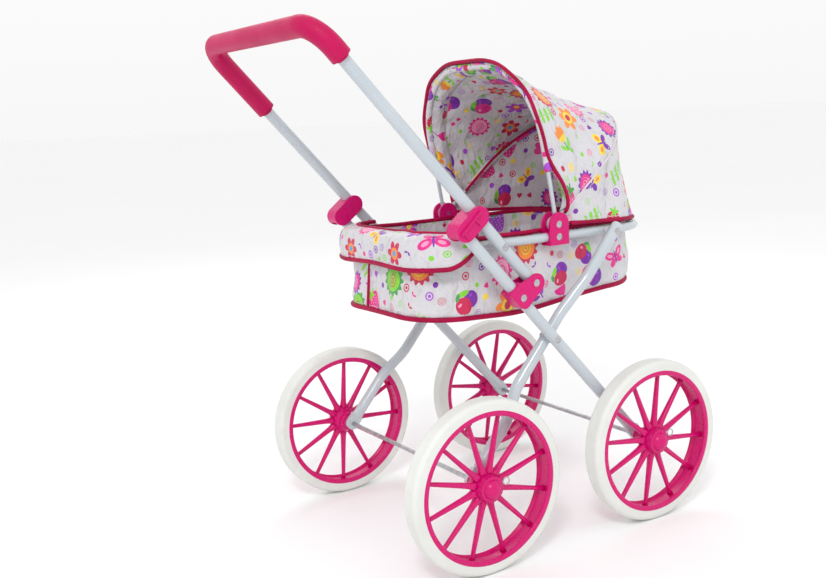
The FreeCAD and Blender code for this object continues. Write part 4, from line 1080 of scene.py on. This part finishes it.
# ------------------------------------------------------------------ foam grip
HANDLE_LOW, HANDLE_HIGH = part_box("push_handle")
TUBE_RADIUS = 0.0065
BEND = 0.030
ARM_ANGLE = math.radians(132.0)
arm_up = Vector((math.cos(ARM_ANGLE), 0, math.sin(ARM_ANGLE)))
bar = Vector((HANDLE_LOW.x + TUBE_RADIUS, 0, HANDLE_HIGH.z - TUBE_RADIUS))
arm_side = HANDLE_HIGH.y - TUBE_RADIUS
GRIP_SIDES = 32
grip_path = [bar - arm_up * 0.043 + Vector((0, -arm_side, 0))]
for sign in (-1, 1):
    centre = bar - arm_up * BEND + Vector((0, sign * (arm_side - BEND), 0))
    for n in range(13):
        a = math.radians(90 * n / 12)
        if sign < 0:
            grip_path.append(centre + Vector((0, -math.cos(a) * BEND, 0)) + arm_up * (math.sin(a) * BEND))
        else:
            grip_path.append(centre + Vector((0, math.sin(a) * BEND, 0)) + arm_up * (math.cos(a) * BEND))
grip_path.append(bar - arm_up * 0.102 + Vector((0, arm_side, 0)))
grip_path = resample(grip_path, 150)
grip_length = path_length(grip_path)
points = tube_rings(grip_path, rounded_ends(grip_length, 0.0110, 0.0022), GRIP_SIDES)
rings = len(grip_path)
inner_first = len(points)
faces = grid_faces(rings, GRIP_SIDES, closed=True)
faces += [tuple(reversed(face)) for face in grid_faces(rings, GRIP_SIDES, closed=True, first=inner_first)]
points += tube_rings(grip_path, TUBE_RADIUS + 0.0003, GRIP_SIDES)
last = (rings - 1) * GRIP_SIDES
for k in range(GRIP_SIDES):
    m = (k + 1) % GRIP_SIDES
    faces.append((m, k, inner_first + k, inner_first + m))
    faces.append((last + k, last + m, inner_first + last + m, inner_first + last + k))
grip = make_object("foam_grip_sleeve", points, faces, FOAM)
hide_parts("foam_grip")
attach(grip, "handle")


# ------------------------------------------------------------------ wheels
def lathe(profile, sides, first=0):
    """Points and faces of a profile of (radius, height) turned about the wheel's axis, Z."""
    points = []
    for radius, height in profile:
        for k in range(sides):
            a = 2 * math.pi * k / sides
            points.append(Vector((radius * math.cos(a), radius * math.sin(a), height)))
    return points, grid_faces(len(profile), sides, closed=True, looped=True, first=first)


def spoke_parts(hub, rim, angle, first):
    """Tapered oval spoke that flares into the hub and the rim."""
    stations = 15
    sides = 14
    points = []
    for i in range(stations):
        t = i / (stations - 1)
        r = hub + (rim - hub) * t
        near_hub = math.exp(-(t / 0.075) ** 1.4)
        near_rim = math.exp(-((1 - t) / 0.035) ** 1.4)
        half_width = 0.0034 - 0.0013 * t + 0.0024 * near_hub + 0.0014 * near_rim
        half_depth = 0.0040 - 0.0016 * t + 0.0020 * near_hub + 0.0012 * near_rim
        lift = 0.0012 * (1 - t)
        for k in range(sides):
            a = 2 * math.pi * k / sides
            across_spoke = math.copysign(abs(math.cos(a)) ** 0.85, math.cos(a)) * half_width
            up = math.copysign(abs(math.sin(a)) ** 0.85, math.sin(a)) * half_depth + lift
            points.append(Vector((r * math.cos(angle) - across_spoke * math.sin(angle),
                                  r * math.sin(angle) + across_spoke * math.cos(angle), up)))
    return points, grid_faces(stations, sides, closed=True, first=first) + end_caps(stations, sides, first)


RIM_PROFILE = [(0.0833, -0.0111), (0.0833, 0.0111), (0.0822, 0.0113), (0.0790, 0.0113), (0.0778, 0.0109),
               (0.0774, 0.0098), (0.0778, 0.0088), (0.0790, 0.0078), (0.0803, 0.0066), (0.0806, 0.0040),
               (0.0806, -0.0040), (0.0803, -0.0066), (0.0790, -0.0078), (0.0778, -0.0088), (0.0774, -0.0098),
               (0.0778, -0.0109), (0.0790, -0.0113), (0.0822, -0.0113)]
HUB_PROFILE = [(0.0026, -0.0157), (0.0094, -0.0157), (0.0102, -0.0153), (0.0108, -0.0143), (0.0114, -0.0115),
               (0.0130, -0.0088), (0.0152, -0.0068), (0.0158, -0.0050), (0.0158, 0.0030), (0.0155, 0.0052),
               (0.0146, 0.0066), (0.0140, 0.0094), (0.0136, 0.0109), (0.0128, 0.0113), (0.0026, 0.0113)]
SPOKES = 12


def wheel_mesh(name):
    points, faces = lathe(RIM_PROFILE, 144)
    more, more_faces = lathe(HUB_PROFILE, 64, first=len(points))
    points += more
    faces += more_faces
    for n in range(SPOKES):
        more, more_faces = spoke_parts(0.0135, 0.0811, 2 * math.pi * n / SPOKES, len(points))
        points += more
        faces += more_faces
    mesh = bpy.data.meshes.new(name)
    mesh.from_pydata([tuple(p) for p in points], [], faces)
    mesh.polygons.foreach_set("use_smooth", [True] * len(mesh.polygons))
    mesh.materials.append(WHEEL_PLASTIC)
    mesh.update()
    return mesh


WHEEL_TURNS = {"front_left": 10.0, "front_right": 22.0, "rear_left": 4.0, "rear_right": 15.0}
for name, turned in WHEEL_TURNS.items():
    centre = Vector(JOINTS["wheel_spin_" + name]["pos_m"])
    sign = 1 if centre.y > 0 else -1
    mesh = wheel_mesh("moulded_wheel_" + name)
    spin = Matrix.Rotation(math.radians(turned), 4, "Z")
    aim = Matrix.Rotation(math.radians(-90.0 * sign), 4, "X")
    mesh.transform(Matrix.Translation(centre) @ aim @ spin)
    wheel = bpy.data.objects.new("moulded_wheel_" + name, mesh)
    bpy.context.scene.collection.objects.link(wheel)
    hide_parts("wheel_rim_" + name, "wheel_spokes_" + name)
    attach(wheel, "wheel_unit_" + name)

# ------------------------------------------------------------------ floor, light and camera
floor_mesh = bpy.data.meshes.new("floor")
reach = 60.0
corners = [(-reach, -reach, 0), (reach, -reach, 0), (reach, reach, 0), (-reach, reach, 0)]
floor_mesh.from_pydata(corners, [], [(0, 1, 2, 3)])
floor = bpy.data.objects.new("floor", floor_mesh)
floor.location.z = cad_low.z - 0.0004
bpy.context.scene.collection.objects.link(floor)
g = Graph("pale_floor")
haze = g.noise(g.place(), 1.5, 2.0)
pale = g.mix(haze, (0.93, 0.93, 0.93), (0.91, 0.91, 0.915))
floor_mesh.materials.append(g.finish(pale, 0.85, Specular_IOR_Level=0.1))

world = bpy.data.worlds.new("studio")
bpy.context.scene.world = world
world.use_nodes = True
background = world.node_tree.nodes["Background"]
background.inputs[1].default_value = 1.0
direction = world.node_tree.nodes.new("ShaderNodeTexCoord")
height = world.node_tree.nodes.new("ShaderNodeSeparateXYZ")
shade = world.node_tree.nodes.new("ShaderNodeValToRGB")
HORIZON_SHADE = 0.936
for element, (stop, value) in zip(shade.color_ramp.elements, ((0.0, HORIZON_SHADE), (0.30, 1.0))):
    element.position = stop
    element.color = (value, value, value, 1.0)
world.node_tree.links.new(direction.outputs["Generated"], height.inputs[0])
world.node_tree.links.new(height.outputs[2], shade.inputs[0])
world.node_tree.links.new(shade.outputs[0], background.inputs[0])


def area_light(name, place, target, size, power):
    lamp = bpy.data.lights.new(name, "AREA")
    lamp.shape = "DISK"
    lamp.size = size
    lamp.energy = power
    holder = bpy.data.objects.new(name, lamp)
    holder.location = place
    holder.rotation_mode = "QUATERNION"
    holder.rotation_quaternion = (Vector(target) - Vector(place)).to_track_quat("-Z", "Y")
    bpy.context.scene.collection.objects.link(holder)


MIDDLE = (0.0, 0.0, 0.30)
area_light("key", (-1.3, -1.5, 1.9), MIDDLE, 0.5, 19.0)
area_light("fill", (1.5, -1.2, 1.0), MIDDLE, 1.4, 1.0)
area_light("back", (0.6, 1.7, 1.7), MIDDLE, 1.2, 5.0)

# Matched to the photo: place, heading, tilt, roll and focal length.
CAMERA_PLACE = (-0.6762, -0.9912, 0.4840)
CAMERA_ANGLES = (-31.65, 9.75, -2.79)
SENSOR_WIDTH = 36.0
FOCAL_PIXELS, PHOTO_WIDTH = 1020.1, 826
camera_data = bpy.data.cameras.new("camera")
camera_data.sensor_width = SENSOR_WIDTH
camera_data.lens = FOCAL_PIXELS / PHOTO_WIDTH * SENSOR_WIDTH
camera = bpy.data.objects.new("camera", camera_data)
bpy.context.scene.collection.objects.link(camera)
azimuth, elevation, roll = (math.radians(a) for a in CAMERA_ANGLES)
back = Vector((math.sin(azimuth) * math.cos(elevation),
               -math.cos(azimuth) * math.cos(elevation), math.sin(elevation)))
right = (-back).cross(Vector((0, 0, 1))).normalized()
up = right.cross(-back)
side_axis = right * math.cos(roll) + up * math.sin(roll)
up_axis = up * math.cos(roll) - right * math.sin(roll)
rows = [(side_axis[n], up_axis[n], back[n], CAMERA_PLACE[n]) for n in range(3)]
camera.matrix_world = Matrix(rows + [(0, 0, 0, 1)])
bpy.context.scene.camera = camera
bpy.context.scene.view_settings.view_transform = "Standard"
